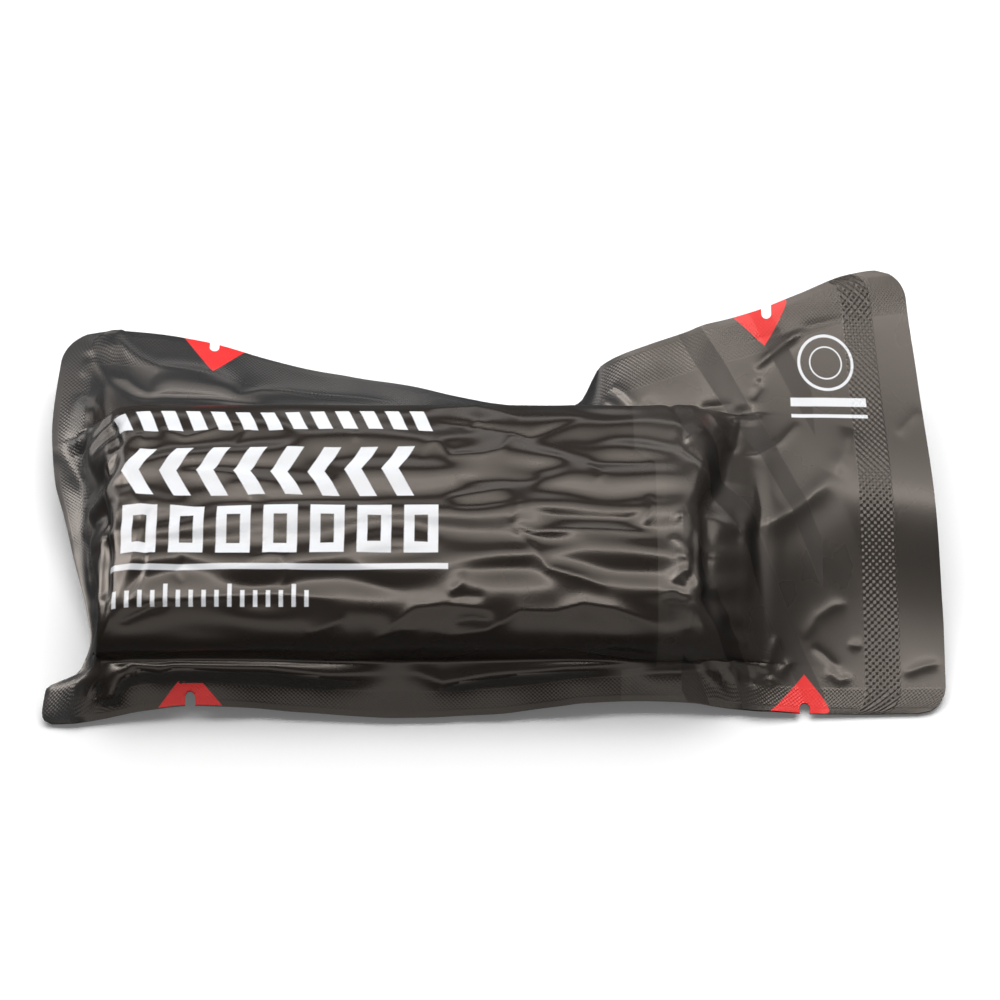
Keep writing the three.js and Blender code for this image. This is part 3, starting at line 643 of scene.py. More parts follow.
def smoothed(grid: np.ndarray, passes: int, axis: int) -> np.ndarray:
    """A grid blurred along one axis, with its ends held.

    Args:
        grid: the numbers.
        passes: how often each one is drawn towards its two neighbours.
        axis: the axis.

    Returns:
        The blurred grid.
    """
    for _ in range(passes):
        before = np.concatenate([grid.take([0], axis), grid.take(range(grid.shape[axis] - 1), axis)], axis)
        after = np.concatenate([grid.take(range(1, grid.shape[axis]), axis), grid.take([-1], axis)], axis)
        grid = (before + 2 * grid + after) / 4
    return grid


def refined(grid: np.ndarray) -> np.ndarray:
    """A grid with a smooth point put between each two, along both its axes.

    Args:
        grid: the coarse grid.

    Returns:
        The fine grid, whose every second line and column are the coarse one's.
    """
    for axis in (0, 1):
        g = np.moveaxis(grid, axis, 0)
        fine = np.empty((2 * len(g) - 1, *g.shape[1:]), g.dtype)
        fine[::2] = g
        outer = np.concatenate([2 * g[:1] - g[1:2], g, 2 * g[-1:] - g[-2:-1]])
        fine[1::2] = (9 * (outer[1:-2] + outer[2:-1]) - outer[:-3] - outer[3:]) / 16
        grid = np.moveaxis(fine, 0, axis)
    return grid


def grid_normals(points: np.ndarray) -> np.ndarray:
    """The unit normals of a grid of points, upwards where its lines run to +X and its columns to +Y."""
    normal = np.cross(np.gradient(points, axis=0), np.gradient(points, axis=1))
    return normal / np.maximum(np.linalg.norm(normal, axis=-1, keepdims=True), 1e-12)


@dataclass(frozen=True)
class FilmSolver:
    """Relaxes a film that is a little too large for the shape that it is drawn over, so that it wrinkles.

    Args:
        rounds: (stride, sweeps, stiffness) from the coarsest grid to the finest one.
        hold: how strongly each sweep draws the film back to its shape.
        grip: how strongly it keeps the film from sliding along the shape.
        shear: how strongly the film keeps its squares square.
        seed: what the first small bumps are drawn from.
        bump: how high those bumps are.
        long_blur: how often the drawn-out bumps are blurred, along and across the pouch.
        fine_blur: the same for the fine bumps.
    """

    rounds: tuple = ((4, 140, 0.05), (2, 120, 0.09), (1, 70, 0.22))
    hold: float = 0.002
    grip: float = 0.03
    shear: float = 0.2
    seed: int = 7
    bump: float = 0.45 * MM
    long_blur: tuple = (14, 1)
    fine_blur: tuple = (2, 2)

    @staticmethod
    def _link(first: np.ndarray, second: np.ndarray, rest: np.ndarray, share: float) -> None:
        """Moves both ends of each link towards its rest length, in place.

        Args:
            first: the points at one end of the links.
            second: the points at the other end.
            rest: the links' rest lengths.
            share: how much of the way they move.
        """
        gap = second - first
        length = np.sqrt(np.einsum("...k,...k->...", gap, gap))
        move = gap * ((0.5 * share) * (1 - rest / np.maximum(length, 1e-9)))[..., None]
        first += move
        second -= move

    def _links(self, points: np.ndarray, rests: dict) -> None:
        """One sweep over every link of the grid.

        Args:
            points: the grid, moved in place.
            rests: the links' rest lengths, by their direction.
        """
        for start in (0, 1):
            self._link(points[start:-1:2], points[start + 1 :: 2], rests["along"][start::2], 1.0)
            self._link(points[:, start:-1:2], points[:, start + 1 :: 2], rests["across"][:, start::2], 1.0)
        for row in (0, 1):
            for column in (0, 1):
                rows, next_rows = slice(row, -1, 2), slice(row + 1, None, 2)
                cols, next_cols = slice(column, -1, 2), slice(column + 1, None, 2)
                self._link(points[rows, cols], points[next_rows, next_cols],
                           rests["down"][row::2, column::2], self.shear)
                self._link(points[next_rows, cols], points[rows, next_cols],
                           rests["up"][row::2, column::2], self.shear)

    def _rests(self, base: np.ndarray, target: np.ndarray, excess: np.ndarray) -> dict:
        """The rest length of every link, long enough for the wrinkles and for the drawn creases.

        Args:
            base: the smooth shape.
            target: the shape with its drawn creases.
            excess: by which shares the film is longer than the shape, along and across.

        Returns:
            The lengths, by the links' direction.
        """
        def length(ends: tuple, share: np.ndarray) -> np.ndarray:
            """The longer of the creased shape's own link and the smooth shape's with its excess."""
            smooth, creased = (np.linalg.norm(grid[ends[1]] - grid[ends[0]], axis=-1)
                               for grid in (base, target))
            return np.maximum(smooth * (1 + share), creased)

        ahead, back, whole = slice(1, None), slice(None, -1), slice(None)
        both = excess[:-1, :-1].mean(-1)
        return {
            "along": length(((back, whole), (ahead, whole)), (excess[1:, :, 0] + excess[:-1, :, 0]) / 2),
            "across": length(((whole, back), (whole, ahead)), (excess[:, 1:, 1] + excess[:, :-1, 1]) / 2),
            "down": length(((back, back), (ahead, ahead)), both),
            "up": length(((ahead, back), (back, ahead)), both),
        }

    def _evened(self, points: np.ndarray, target: np.ndarray, stiffness: float) -> np.ndarray:
        """The film after one small step that takes sharp bends out of it.

        Args:
            points: the film's grid of points.
            target: the shape with its drawn creases.
            stiffness: how large the step is.

        Returns:
            The moved points.
        """
        offset = points - target
        bend = self._unevenness(offset)
        return points - stiffness * self._unevenness(bend)

    @staticmethod
    def _unevenness(grid: np.ndarray) -> np.ndarray:
        """How far each point lies from the middle of its four neighbours.

        Args:
            grid: the points.

        Returns:
            The way from each point to that middle.
        """
        padded = np.pad(grid, ((1, 1), (1, 1), (0, 0)), mode="edge")
        around = padded[2:, 1:-1] + padded[:-2, 1:-1] + padded[1:-1, 2:] + padded[1:-1, :-2]
        return around / 4 - grid

    def _bumps(self, shape: tuple, grain: np.ndarray) -> np.ndarray:
        """Seeded bumps that start the wrinkles.

        Args:
            shape: the grid's numbers of lines and columns.
            grain: how far the bumps are drawn out along the pouch, from 0 to 1.

        Returns:
            The bumps' heights.
        """
        rng = np.random.default_rng(self.seed)
        kinds = []
        for along, across in (self.long_blur, self.fine_blur):
            bumps = smoothed(smoothed(rng.standard_normal(shape), along, 0), across, 1)
            kinds.append(bumps / bumps.std())
        return (kinds[0] * grain + kinds[1] * (1 - grain)) * self.bump

    def solve(self, base: np.ndarray, raised: np.ndarray, excess: np.ndarray, lowest: np.ndarray,
              grain: np.ndarray, still: np.ndarray, floor: float) -> np.ndarray:
        """The wrinkled film.

        Args:
            base: the smooth shape's grid of points.
            raised: the heights of the drawn creases over it.
            excess: by which shares the film is longer than the shape, along and across.
            lowest: how far below the shape each point may go.
            grain: how far the first bumps are drawn out along the pouch, from 0 to 1.
            still: how far each point keeps to the drawn shape, from 0 to 1.
            floor: the least height over the surface that the pack lies on.

        Returns:
            The moved grid of points.
        """
        normals = grid_normals(base)
        offset: Optional[np.ndarray] = None
        for stride, sweeps, stiffness in self.rounds:
            step = slice(None, None, stride)
            blur = stride - 1
            heights = smoothed(smoothed(raised, blur, 0), blur, 1)[step, step]
            up = normals[step, step]
            shape = base[step, step]
            target = shape + up * heights[..., None]
            if offset is None:
                offset = up * self._bumps(heights.shape, grain[step, step])[..., None]
            else:
                offset = refined(offset)
            points = target + offset
            rests = self._rests(shape, target, excess[step, step])
            limit = lowest[step, step]
            for _ in range(sweeps):
                self._links(points, rests)
                points = self._evened(points, target, stiffness)
                away = target - points
                lift = np.einsum("...k,...k->...", away, up)[..., None] * up
                points += self.hold * lift + self.grip * (away - lift)
                height = np.einsum("...k,...k->...", points - shape, up)
                points += up * np.maximum(limit - height, 0.0)[..., None]
                points[..., 2] = np.maximum(points[..., 2], floor)
            offset = points - target
        while stride > 1:
            offset = refined(offset)
            stride //= 2
        result = base + normals * raised[..., None] + offset * (1 - still)[..., None]
        result[..., 2] = np.maximum(result[..., 2], floor)
        return result


def mesh_piece(name: str, points: np.ndarray, faces: list, maps: Optional[dict] = None) -> bpy.types.Object:
    """A smooth-shaded mesh object.

    Args:
        name: the piece's name.
        points: its points.
        faces: lists of point numbers.
        maps: texture maps, as an array of two numbers for each point.

    Returns:
        The new object, in the scene.
    """
    mesh = bpy.data.meshes.new(name)
    mesh.from_pydata(points.tolist(), [], faces)
    corners = np.empty(len(mesh.loops), np.int32)
    mesh.loops.foreach_get("vertex_index", corners)
    for map_name, values in (maps or {}).items():
        layer = mesh.uv_layers.new(name=map_name)
        layer.data.foreach_set("uv", values[corners].astype(np.float32).ravel())
    mesh.polygons.foreach_set("use_smooth", np.ones(len(mesh.polygons), bool))
    mesh.validate()
    piece = bpy.data.objects.new(name, mesh)
    bpy.context.scene.collection.objects.link(piece)
    return piece


def apply_modifiers(piece: bpy.types.Object) -> None:
    """Makes a piece's modifiers part of its mesh.

    Args:
        piece: the piece.
    """
    graph = bpy.context.evaluated_depsgraph_get()
    made = bpy.data.meshes.new_from_object(piece.evaluated_get(graph))
    old = piece.data
    piece.modifiers.clear()
    piece.data = made
    bpy.data.meshes.remove(old)


class Value:
    """A number in a shader, which Python's own operators turn into Math nodes."""

    def __init__(self, shader: "Shader", socket: bpy.types.NodeSocket) -> None:
        """Wraps an output socket."""
        self.shader = shader
        self.socket = socket

    def _math(self, operation: str, *inputs: "Number") -> "Value":
        """A Math node."""
        return self.shader.add("ShaderNodeMath", {"operation": operation}, inputs)

    def __add__(self, other: "Number") -> "Value":
        """This plus another."""
        return self._math("ADD", self, other)

    __radd__ = __add__

    def __sub__(self, other: "Number") -> "Value":
        """This less another."""
        return self._math("SUBTRACT", self, other)

    def __rsub__(self, other: "Number") -> "Value":
        """Another less this."""
        return self._math("SUBTRACT", other, self)

    def __mul__(self, other: "Number") -> "Value":
        """This times another."""
        return self._math("MULTIPLY", self, other)

    __rmul__ = __mul__

    def __truediv__(self, other: "Number") -> "Value":
        """This over another."""
        return self._math("DIVIDE", self, other)

    def __abs__(self) -> "Value":
        """This without its sign."""
        return self._math("ABSOLUTE", self)

    def at_most(self, other: "Number") -> "Value":
        """The smaller of this and another."""
        return self._math("MINIMUM", self, other)

    def at_least(self, other: "Number") -> "Value":
        """The larger of this and another."""
        return self._math("MAXIMUM", self, other)

    def fraction(self) -> "Value":
        """What is left of this over a whole number."""
        return self._math("FRACT", self)

    def root(self) -> "Value":
        """The square root of this."""
        return self._math("SQRT", self)

    def sine(self) -> "Value":
        """The sine of this."""
        return self._math("SINE", self)

    def over(self, edge: "Number", soft: float) -> "Value":
        """1 where this is above an edge, 0 below it, blended over a width."""
        scaled = (self - edge) * (1 / soft) + 0.5
        return scaled.at_least(0.0).at_most(1.0)

    def under(self, edge: "Number", soft: float) -> "Value":
        """1 where this is below an edge, 0 above it."""
        return 1 - self.over(edge, soft)

    def between(self, low: float, high: float, soft: float) -> "Value":
        """1 between two edges, 0 outside them."""
        return abs(self - (low + high) / 2).under((high - low) / 2, soft)


Number = Union[Value, float]
Input = Union[Value, float, tuple]


class Shader:
    """A material's node tree, which adds nodes and links their sockets."""

    def __init__(self, name: str) -> None:
        """Starts a material with an empty tree.

        Args:
            name: the material's name.
        """
        self.material = bpy.data.materials.new(name)
        self.material.use_nodes = True
        self.tree = self.material.node_tree
        self.tree.nodes.clear()

    def add(self, kind: str, settings: Optional[dict] = None, inputs: Union[Sequence, dict] = (),
            output: Union[int, str] = 0) -> Value:
        """Adds a node.

        Args:
            kind: the node's type.
            settings: its own settings, which are set first.
            inputs: values or links of its sockets, in order or by name.
            output: which output to return.

        Returns:
            The output.
        """
        node = self.tree.nodes.new(kind)
        for name, setting in (settings or {}).items():
            setattr(node, name, setting)
        named = inputs.items() if isinstance(inputs, dict) else enumerate(inputs)
        for key, given in named:
            if isinstance(given, Value):
                self.tree.links.new(given.socket, node.inputs[key])
            else:
                node.inputs[key].default_value = given
        return Value(self, node.outputs[output])

    def mix(self, share: Number, first: Input, second: Input) -> Value:
        """A colour between two others.

        Args:
            share: how much of the second one it has, from 0 to 1.
            first: the first colour.
            second: the second colour.

        Returns:
            The mixed colour.
        """
        first, second = ((*c, 1.0) if isinstance(c, tuple) else c for c in (first, second))
        inputs = {0: share, 6: first, 7: second}  # A Mix node's factor and its two colours.
        return self.add("ShaderNodeMix", {"data_type": "RGBA"}, inputs, output=2)

    def split(self, vector: Value) -> tuple:
        """The three coordinates of a vector."""
        node = self.add("ShaderNodeSeparateXYZ", {}, [vector]).socket.node
        return tuple(Value(self, output) for output in node.outputs)

    def map_place(self, name: str) -> tuple:
        """The two coordinates of a texture map."""
        return self.split(self.add("ShaderNodeUVMap", {"uv_map": name}))[:2]

    def place(self, x: Number, y: Number) -> Value:
        """A place in a plane, from its coordinates."""
        return self.add("ShaderNodeCombineXYZ", {}, [x, y, 0.0])

    def noise(self, vector: Value, scale: float, detail: float = 2.0) -> Value:
        """A noise from 0 to 1."""
        inputs = {"Vector": vector, "Scale": scale, "Detail": detail}
        return self.add("ShaderNodeTexNoise", {}, inputs, output="Fac")

    def bump(self, height: Value, strength: float, distance: float) -> Value:
        """The normals of a bumpy surface, from its height between 0 and 1."""
        return self.add("ShaderNodeBump", {}, {"Strength": strength, "Distance": distance, "Height": height})

    def finish(self, surface: dict) -> bpy.types.Material:
        """Ends the tree in a Principled surface.

        Args:
            surface: values or links of the surface's sockets, by name.

        Returns:
            The material.
        """
        shaded = self.add("ShaderNodeBsdfPrincipled", {}, surface)
        end = self.tree.nodes.new("ShaderNodeOutputMaterial")
        self.tree.links.new(shaded.socket, end.inputs["Surface"])
        return self.material


def waves(one: Value, other: Value, pitch: float) -> Value:
    """Raised and sunken dots in turn, from 0 to 1, at a pitch along both directions."""
    turn = 2 * math.pi / pitch
    return (one * turn).sine() * (other * turn).sine() * 0.5 + 0.5


@dataclass(frozen=True)
class Repeat:
    """A mark that is printed again and again in one direction.

    Args:
        pitch: from one mark to the next.
        filled: the shares of the pitch between which it is filled.
        blur: the share of the pitch over which its edges fade.
        numbers: the first mark's number and the one after the last, or None for marks without end.
    """

    pitch: float
    filled: tuple
    blur: float
    numbers: Optional[tuple] = None

    def over(self, place: Value) -> Value:
        """1 on the marks, 0 between them.

        Args:
            place: how far the place lies in the direction in which the marks repeat.

        Returns:
            The mask.
        """
        steps = place * (1 / self.pitch)
        marks = steps.fraction().between(*self.filled, self.blur)
        return marks if self.numbers is None else marks * steps.between(*self.numbers, self.blur)


@dataclass(frozen=True)
class WhitePrint:
    """The white print: rows of plain marks over the roll, and two rings over two bars on the tail.

    Args:
        blur: the width over which the rows' edges fade.
        dashes: the first row's slanted dashes.
        dash_band: where they lie across the film.
        dash_lean: how far they lean along the pouch for each step across it.
        chevrons: the second row's chevrons.
        chevron_middle: where their points lie across the film.
        chevron_reach: how far their arms reach from there.
        chevron_lean: how far the arms lean along the pouch for each step across it.
        frame_middle: where the third row's frames lie across the film.
        frame_pitch: from one frame to the next.
        frame_shift: how far the frames are moved, in shares of their pitch.
        frame: half a frame's length and half its height.
        hole: the same for its hole.
        frames_along: where the row starts and ends.
        rule_band: where the rule under it lies across the film.
        rule_along: where it starts and ends.
        ticks: the scale's ticks.
        tall_ticks: where a tick is tall.
        tick_band: where the tall ones lie across the film.
        short_top: where the short ones end.
        ring_place: the middle of the rings, along and across.
        rings: each ring's inner and outer radius.
        bars: where each bar lies across the film from there.
        bar_half: half a bar's length.
        tail_blur: the width over which their edges fade.
    """

    blur: float = 0.22 * MM
    dashes: Repeat = Repeat(6.4 * MM, (0.15, 0.72), 0.04, (4.0, 17.0))
    dash_band: tuple = (0.0216, 0.0292)
    dash_lean: float = 0.35
    chevrons: Repeat = Repeat(9.4 * MM, (0.20, 0.66), 0.03, (2.0, 10.0))
    chevron_middle: float = 0.0081
    chevron_reach: float = 0.0074
    chevron_lean: float = 0.55
    frame_middle: float = -0.0092
    frame_pitch: float = 11.8 * MM
    frame_shift: float = 0.3
    frame: tuple = (0.0043, 0.0067)
    hole: tuple = (0.0017, 0.0038)
    frames_along: tuple = (0.0185, 0.1035)
    rule_band: tuple = (-0.0204, -0.0189)
    rule_along: tuple = (0.0184, 0.1036)
    ticks: Repeat = Repeat(3.2 * MM, (0.18, 0.52), 0.07, (6.0, 22.0))
    tall_ticks: Repeat = Repeat(16.0 * MM, (0.0, 0.2), 0.01)
    tick_band: tuple = (-0.0298, -0.0240)
    short_top: float = -0.0256
    ring_place: tuple = (0.2035, 0.0480)
    rings: tuple = ((0.0072, 0.0080), (0.0043, 0.0047))
    bars: tuple = ((-0.0125, -0.0100), (-0.0158, -0.0148))
    bar_half: float = 0.0105
    tail_blur: float = 0.2 * MM

    def _dash_row(self, along: Value, across: Value) -> Value:
        """The row of slanted dashes."""
        return across.between(*self.dash_band, self.blur) * self.dashes.over(along + across * self.dash_lean)

    def _chevron_row(self, along: Value, across: Value) -> Value:
        """The row of chevrons."""
        off = abs(across - self.chevron_middle)
        return off.under(self.chevron_reach, self.blur) * self.chevrons.over(along - off * self.chevron_lean)

    def _frame_row(self, along: Value, across: Value) -> Value:
        """The row of frames.

        Args:
            along: the place along the pouch.
            across: the place across the film.

        Returns:
            The mask.
        """
        cell = (along * (1 / self.frame_pitch) + self.frame_shift).fraction() - 0.5
        length, height = abs(cell) * self.frame_pitch, abs(across - self.frame_middle)
        block, slot = (length.under(half[0], self.blur) * height.under(half[1], self.blur)
                       for half in (self.frame, self.hole))
        return block * (1 - slot) * along.between(*self.frames_along, self.blur)

    def _rule(self, along: Value, across: Value) -> Value:
        """The rule under the frames."""
        return across.between(*self.rule_band, self.blur) * along.between(*self.rule_along, self.blur)

    def _scale(self, along: Value, across: Value) -> Value:
        """The scale of short and tall ticks."""
        reach = (across.under(self.short_top, self.blur) + self.tall_ticks.over(along)).at_most(1.0)
        return across.between(*self.tick_band, self.blur) * reach * self.ticks.over(along)

    def _tail_mark(self, along: Value, across: Value) -> Value:
        """The rings over the bars.

        Args:
            along: the place along the pouch.
            across: the place across the film.

        Returns:
            The mask.
        """
        x, y = along - self.ring_place[0], across - self.ring_place[1]
        radius = (x * x + y * y).root()
        rings = sum(radius.between(*ring, self.tail_blur) for ring in self.rings)
        bars = sum(y.between(*bar, self.tail_blur) for bar in self.bars)
        return rings + bars * abs(x).under(self.bar_half, self.tail_blur)

    def over(self, along: Value, across: Value) -> Value:
        """1 on the white marks, 0 elsewhere."""
        parts = (self._dash_row, self._chevron_row, self._frame_row, self._rule, self._scale, self._tail_mark)
        return sum(part(along, across) for part in parts).at_most(1.0)


@dataclass(frozen=True)
class FilmFinish:
    """The pouch's laminate: a dark satin film, printed on the front. An edge is a place and its fade's width.

    Args:
        panel: colour of the printed panel over the roll.
        strip: colour of the narrow strip that ends the panel.
        tail: colour of the film beyond the strip.
        tone: colour of the slanted bands printed on it.
        margin: colour of the unprinted rim.
        white: colour of the white print.
        red: colour of the notch marks.
        roughness: how soft the film's shine is.
        tint: colour of its shine.
        marks: the white print.
        bands: the slanted bands.
        band_lean: how much of the ways along and across their direction has.
        bands_along: where they start and end along the pouch, and the width of their fade.
        panel_end: where the panel ends along the pouch.
        panel_blur: the width over which it fades.
        step: the edge across the film beyond which the panel ends sooner.
        step_depth: how much sooner it ends there.
        corner: the edge in from the near side within which it ends sooner.
        corner_depth: how much sooner it ends there.
        strip_width: how wide the strip is.
        strip_top: the edge across the film where the strip stops.
        bare_far: the edge in from the far side of the unprinted rim there.
        bare_far_end: the edge along the pouch where that rim ends.
        bare_left: the edge along the pouch of the unprinted left end.
        notch_mark: a notch mark's length on the pouch's edge and its height.
        notch_mark_blur: the width over which it fades.
        knurl_pitch: from one dot of the sealing bar's pattern to the next.
        bar: where that pattern lies in from the right edge, and the width of its fade.
        fine_pitch: the finer pattern's pitch, as a share of the bar's.
        far_seal: where the finer pattern lies in from the far side, and the width of its fade.
        near_seal: the same from the near side.
        left_seal: the same from the left edge.
        fine_depth: the finer pattern's depth, as a share of the bar's.
        grain_depth: the depth of the film's own grain, as a share of the bar's.
        grain_scale: how fine that grain is.
        cloud_scale: how fine the uneven shine is.
        cloudiness: how uneven the shine is.
        ink_matt: how much more matt the white and the red print are.
        tone_matt: how much more matt the slanted bands are.
        relief: the strength and the depth of the pressed patterns.
    """

    panel: tuple = (0.0095, 0.0062, 0.0045)
    strip: tuple = (0.030, 0.025, 0.021)
    tail: tuple = (0.026, 0.022, 0.019)
    tone: tuple = (0.0065, 0.0055, 0.0050)
    margin: tuple = (0.019, 0.0205, 0.0225)
    white: tuple = (0.72, 0.74, 0.77)
    red: tuple = (0.82, 0.003, 0.007)
    roughness: float = 0.28
    tint: tuple = (1.0, 0.89, 0.80, 1.0)
    marks: WhitePrint = WhitePrint()
    bands: Repeat = Repeat(17.0 * MM, (0.20, 0.52), 0.02)
    band_lean: tuple = (0.90, 0.42)
    bands_along: tuple = (0.1625, 0.1990, 0.3 * MM)
    panel_end: float = 0.1560
    panel_blur: float = 0.3 * MM
    step: tuple = (0.0125, 0.004)
    step_depth: float = 0.0052
    corner: tuple = (0.0085, 0.0005)
    corner_depth: float = 0.0088
    strip_width: float = 0.0026
    strip_top: tuple = (0.0115, 0.002)
    bare_far: tuple = (0.026, 0.012)
    bare_far_end: tuple = (0.150, 0.01)
    bare_left: tuple = (0.010, 0.008)
    notch_mark: tuple = (0.0162, 0.0100)
    notch_mark_blur: float = 0.25 * MM
    knurl_pitch: float = 1.25 * MM
    bar: tuple = (0.0115, 0.0205, 0.4 * MM)
    fine_pitch: float = 0.6
    far_seal: tuple = (0.0015, 0.0115, 0.5 * MM)
    near_seal: tuple = (0.0015, 0.0065, 0.5 * MM)
    left_seal: tuple = (0.0015, 0.0085, 0.5 * MM)
    fine_depth: float = 0.3
    grain_depth: float = 0.10
    grain_scale: float = 2600.0
    cloud_scale: float = 60.0
    cloudiness: float = 0.08
    ink_matt: float = 0.1
    tone_matt: float = 0.2
    relief: tuple = (0.9, 0.16 * MM)

    def _triangle(self, along: Value, edge_in: Value, centre: float) -> Value:
        """A triangle round a notch, with its base on the pouch's edge.

        Args:
            along: the place along the pouch.
            edge_in: how far in from the pouch's edge.
            centre: where the notch lies along the pouch.

        Returns:
            The mask.
        """
        base, height = self.notch_mark
        slack = (1 - edge_in / height) * (base / 2) - abs(along - centre)
        return slack.over(0.0, self.notch_mark_blur)

    def _notch_marks(self, along: Value, near_in: Value, far_in: Value, length: float) -> Value:
        """The red triangles round the notches.

        Args:
            along: the place along the pouch.
            near_in: how far in from its near side.
            far_in: how far in from its far side.
            length: the pouch's length.

        Returns:
            The mask.
        """
        first, *others = (self._triangle(along, far_in if far else near_in, share * length)
                          for share, far in NOTCHES)
        for mark in others:
            first = first.at_least(mark)
        return first

    def _banded(self, along: Value, across: Value) -> Value:
        """1 on the slanted bands of the film beyond the panel, 0 elsewhere."""
        lean_along, lean_across = self.band_lean
        return self.bands.over(along * lean_along + across * lean_across) * along.between(*self.bands_along)

    def _ground(self, shader: Shader, along: Value, across: Value, near_in: Value, far_in: Value) -> Value:
        """The front film's colour under the marks: the panel, its strip, the banded tail and the bare rim.

        Args:
            shader: the material's tree.
            along: the place along the pouch.
            across: the place across the film.
            near_in: how far in from its near side.
            far_in: how far in from its far side.

        Returns:
            The colour.
        """
        step = across.over(*self.step) * self.step_depth
        corner = near_in.under(*self.corner) * self.corner_depth
        edge = self.panel_end - step - corner
        beyond = shader.mix(self._banded(along, across), self.tail, self.tone)
        strip = along.under(edge + self.strip_width, self.panel_blur) * (1 - across.over(*self.strip_top))
        ended = shader.mix(strip, beyond, self.strip)
        printed = shader.mix(along.under(edge, self.panel_blur), ended, self.panel)
        far_rim = far_in.under(*self.bare_far) * along.under(*self.bare_far_end)
        return shader.mix(far_rim.at_least(along.under(*self.bare_left)), printed, self.margin)

    def _relief(self, along: Value, across: Value, right_in: Value, near_in: Value, far_in: Value) -> Value:
        """The height of the pressed seals: the bar's coarse knurl, and a finer one along the other sides.

        Args:
            along: the place along the pouch.
            across: the place across the film.
            right_in: how far in from its right edge.
            near_in: how far in from its near side.
            far_in: how far in from its far side.

        Returns:
            The height.
        """
        pitch = self.knurl_pitch * math.sqrt(2)
        coarse = waves(along, across, pitch) * right_in.between(*self.bar)
        rims = far_in.between(*self.far_seal).at_least(near_in.between(*self.near_seal))
        rims = rims.at_least(along.between(*self.left_seal))
        return coarse + waves(along, across, pitch * self.fine_pitch) * rims * self.fine_depth

    def make(self, name: str, form: PouchForm, printed: bool) -> bpy.types.Material:
        """The material of one film.

        Args:
            name: the material's name.
            form: the pouch, for its length.
            printed: whether it carries the print.

        Returns:
            The material.
        """
        shader = Shader(name)
        along, across = shader.map_place(FILM_MAP)
        near_in, far_in = shader.map_place(SIDES_MAP)
        place = shader.place(along, across)
        cloudy = shader.noise(place, self.cloud_scale, 3.0)
        roughness = cloudy * self.cloudiness + (self.roughness - self.cloudiness / 2)
        if printed:
            white = self.marks.over(along, across)
            red = self._notch_marks(along, near_in, far_in, form.length)
            colour = self._ground(shader, along, across, near_in, far_in)
            colour = shader.mix(red, shader.mix(white, colour, self.white), self.red)
            roughness = roughness + white.at_least(red) * self.ink_matt
            roughness = roughness + self._banded(along, across) * self.tone_matt
        else:
            colour = shader.mix(cloudy, self.panel, self.margin)
        grain = shader.noise(place, self.grain_scale) * self.grain_depth
        relief = self._relief(along, across, form.length - along, near_in, far_in) + grain
        return shader.finish({
            "Base Color": colour,
            "Roughness": roughness,
            "Specular Tint": self.tint,
            "IOR": 1.5,
            "Normal": shader.bump(relief, *self.relief),
        })


@dataclass(frozen=True)
class BandageFinish:
    """Woven elastic bandage: off-white yarns over and under each other, with painted shade between them.

    Args:
        light: colour of a yarn's top, the lit side of the painted shading that follows the weave.
        dark: colour between the yarns, painted shade in the weave's hollows.
        pitch: from one yarn to the next but one.
        roughness: how matt the smoothest yarns are.
        slub_scale: how fine the yarns' unevenness is.
        relief: the strength and the depth of the weave.
    """

    light: tuple = (0.66, 0.58, 0.44)
    dark: tuple = (0.46, 0.39, 0.28)
    pitch: float = 0.9 * MM
    roughness: float = 0.82
    slub_scale: float = 400.0
    relief: tuple = (0.6, 0.3 * MM)

    def make(self, name: str) -> bpy.types.Material:
        """The material of the bandage.

        Args:
            name: the material's name.

        Returns:
            The material.
        """
        shader = Shader(name)
        place = shader.add("ShaderNodeTexCoord", output="Object")
        x, y, z = shader.split(place)
        weave = waves(x, y + z, self.pitch)
        slub = shader.noise(place, self.slub_scale, 3.0)
        # The colour follows the weave's height: painted shade between the yarns and lighter yarn tops, with
        # the slub's random tone mixed in.
        colour = shader.mix((weave * 0.7 + slub * 0.4).at_most(1.0), self.dark, self.light)
        return shader.finish({
            "Base Color": colour,
            "Roughness": slub * 0.1 + self.roughness,
            "Normal": shader.bump(weave, *self.relief),
        })


@dataclass(frozen=True)
class Tile:
    """A rectangle of the bake map.

    Args:
        corner: its lower left corner.
        size: its width and height.
    """

    corner: tuple
    size: tuple


# Where a film's outer face, its inner one and the walls between them lie on the bake map.
OUTER_TILE = Tile((0.015, 0.385), (0.97, 0.60))
INNER_TILE = Tile((0.015, 0.015), (0.58, 0.35))
SIDE_TILE = Tile((0.62, 0.01), (0.36, 0.36))
TILE_MARGIN = 0.003
PATCH_RADIUS = 0.42


@dataclass(frozen=True)
class Slack:
    """By which shares the front film is longer than its shape, most of all at the roll's ends.

    Args:
        along: the shares along the pouch: over the roll, in the seals, at its left end and at its right end.
        across: the same across the pouch.
        left_reach: how far from the roll's left end its share reaches.
        right_reach: the same at the right end.
        tail_start: how far beyond the roll the film starts to lie calm.
        tail_fade: the length over which it calms down.
        tail_loss: how much of the slack the tail lacks.
    """

    along: tuple = (0.006, 0.004, 0.022, 0.014)
    across: tuple = (0.038, 0.004, 0.010, 0.0)
    left_reach: float = 0.008
    right_reach: float = 0.010
    tail_start: float = 0.008
    tail_fade: float = 0.012
    tail_loss: float = 0.85

    def over(self, along: np.ndarray, sealed: np.ndarray) -> np.ndarray:
        """The shares at each point of the film.

        Args:
            along: the points' places along the pouch.
            sealed: how near each is to the seal, from 0 to 1.

        Returns:
            The share along and the share across the pouch for each point.
        """
        roll = Zone.ROLL
        tail = np.clip((along - roll.at(1.0) - self.tail_start) / self.tail_fade, 0.0, 1.0)
        free = (1 - sealed) * (1 - self.tail_loss * tail)
        left_end = np.exp(-(((along - roll.at(0.0)) / self.left_reach) ** 2)) * free
        right_end = np.exp(-(((along - roll.at(1.0)) / self.right_reach) ** 2)) * free
        parts = (free, sealed, left_end, right_end)
        return np.stack([sum(share * part for share, part in zip(shares, parts))
                         for shares in (self.along, self.across)], -1)


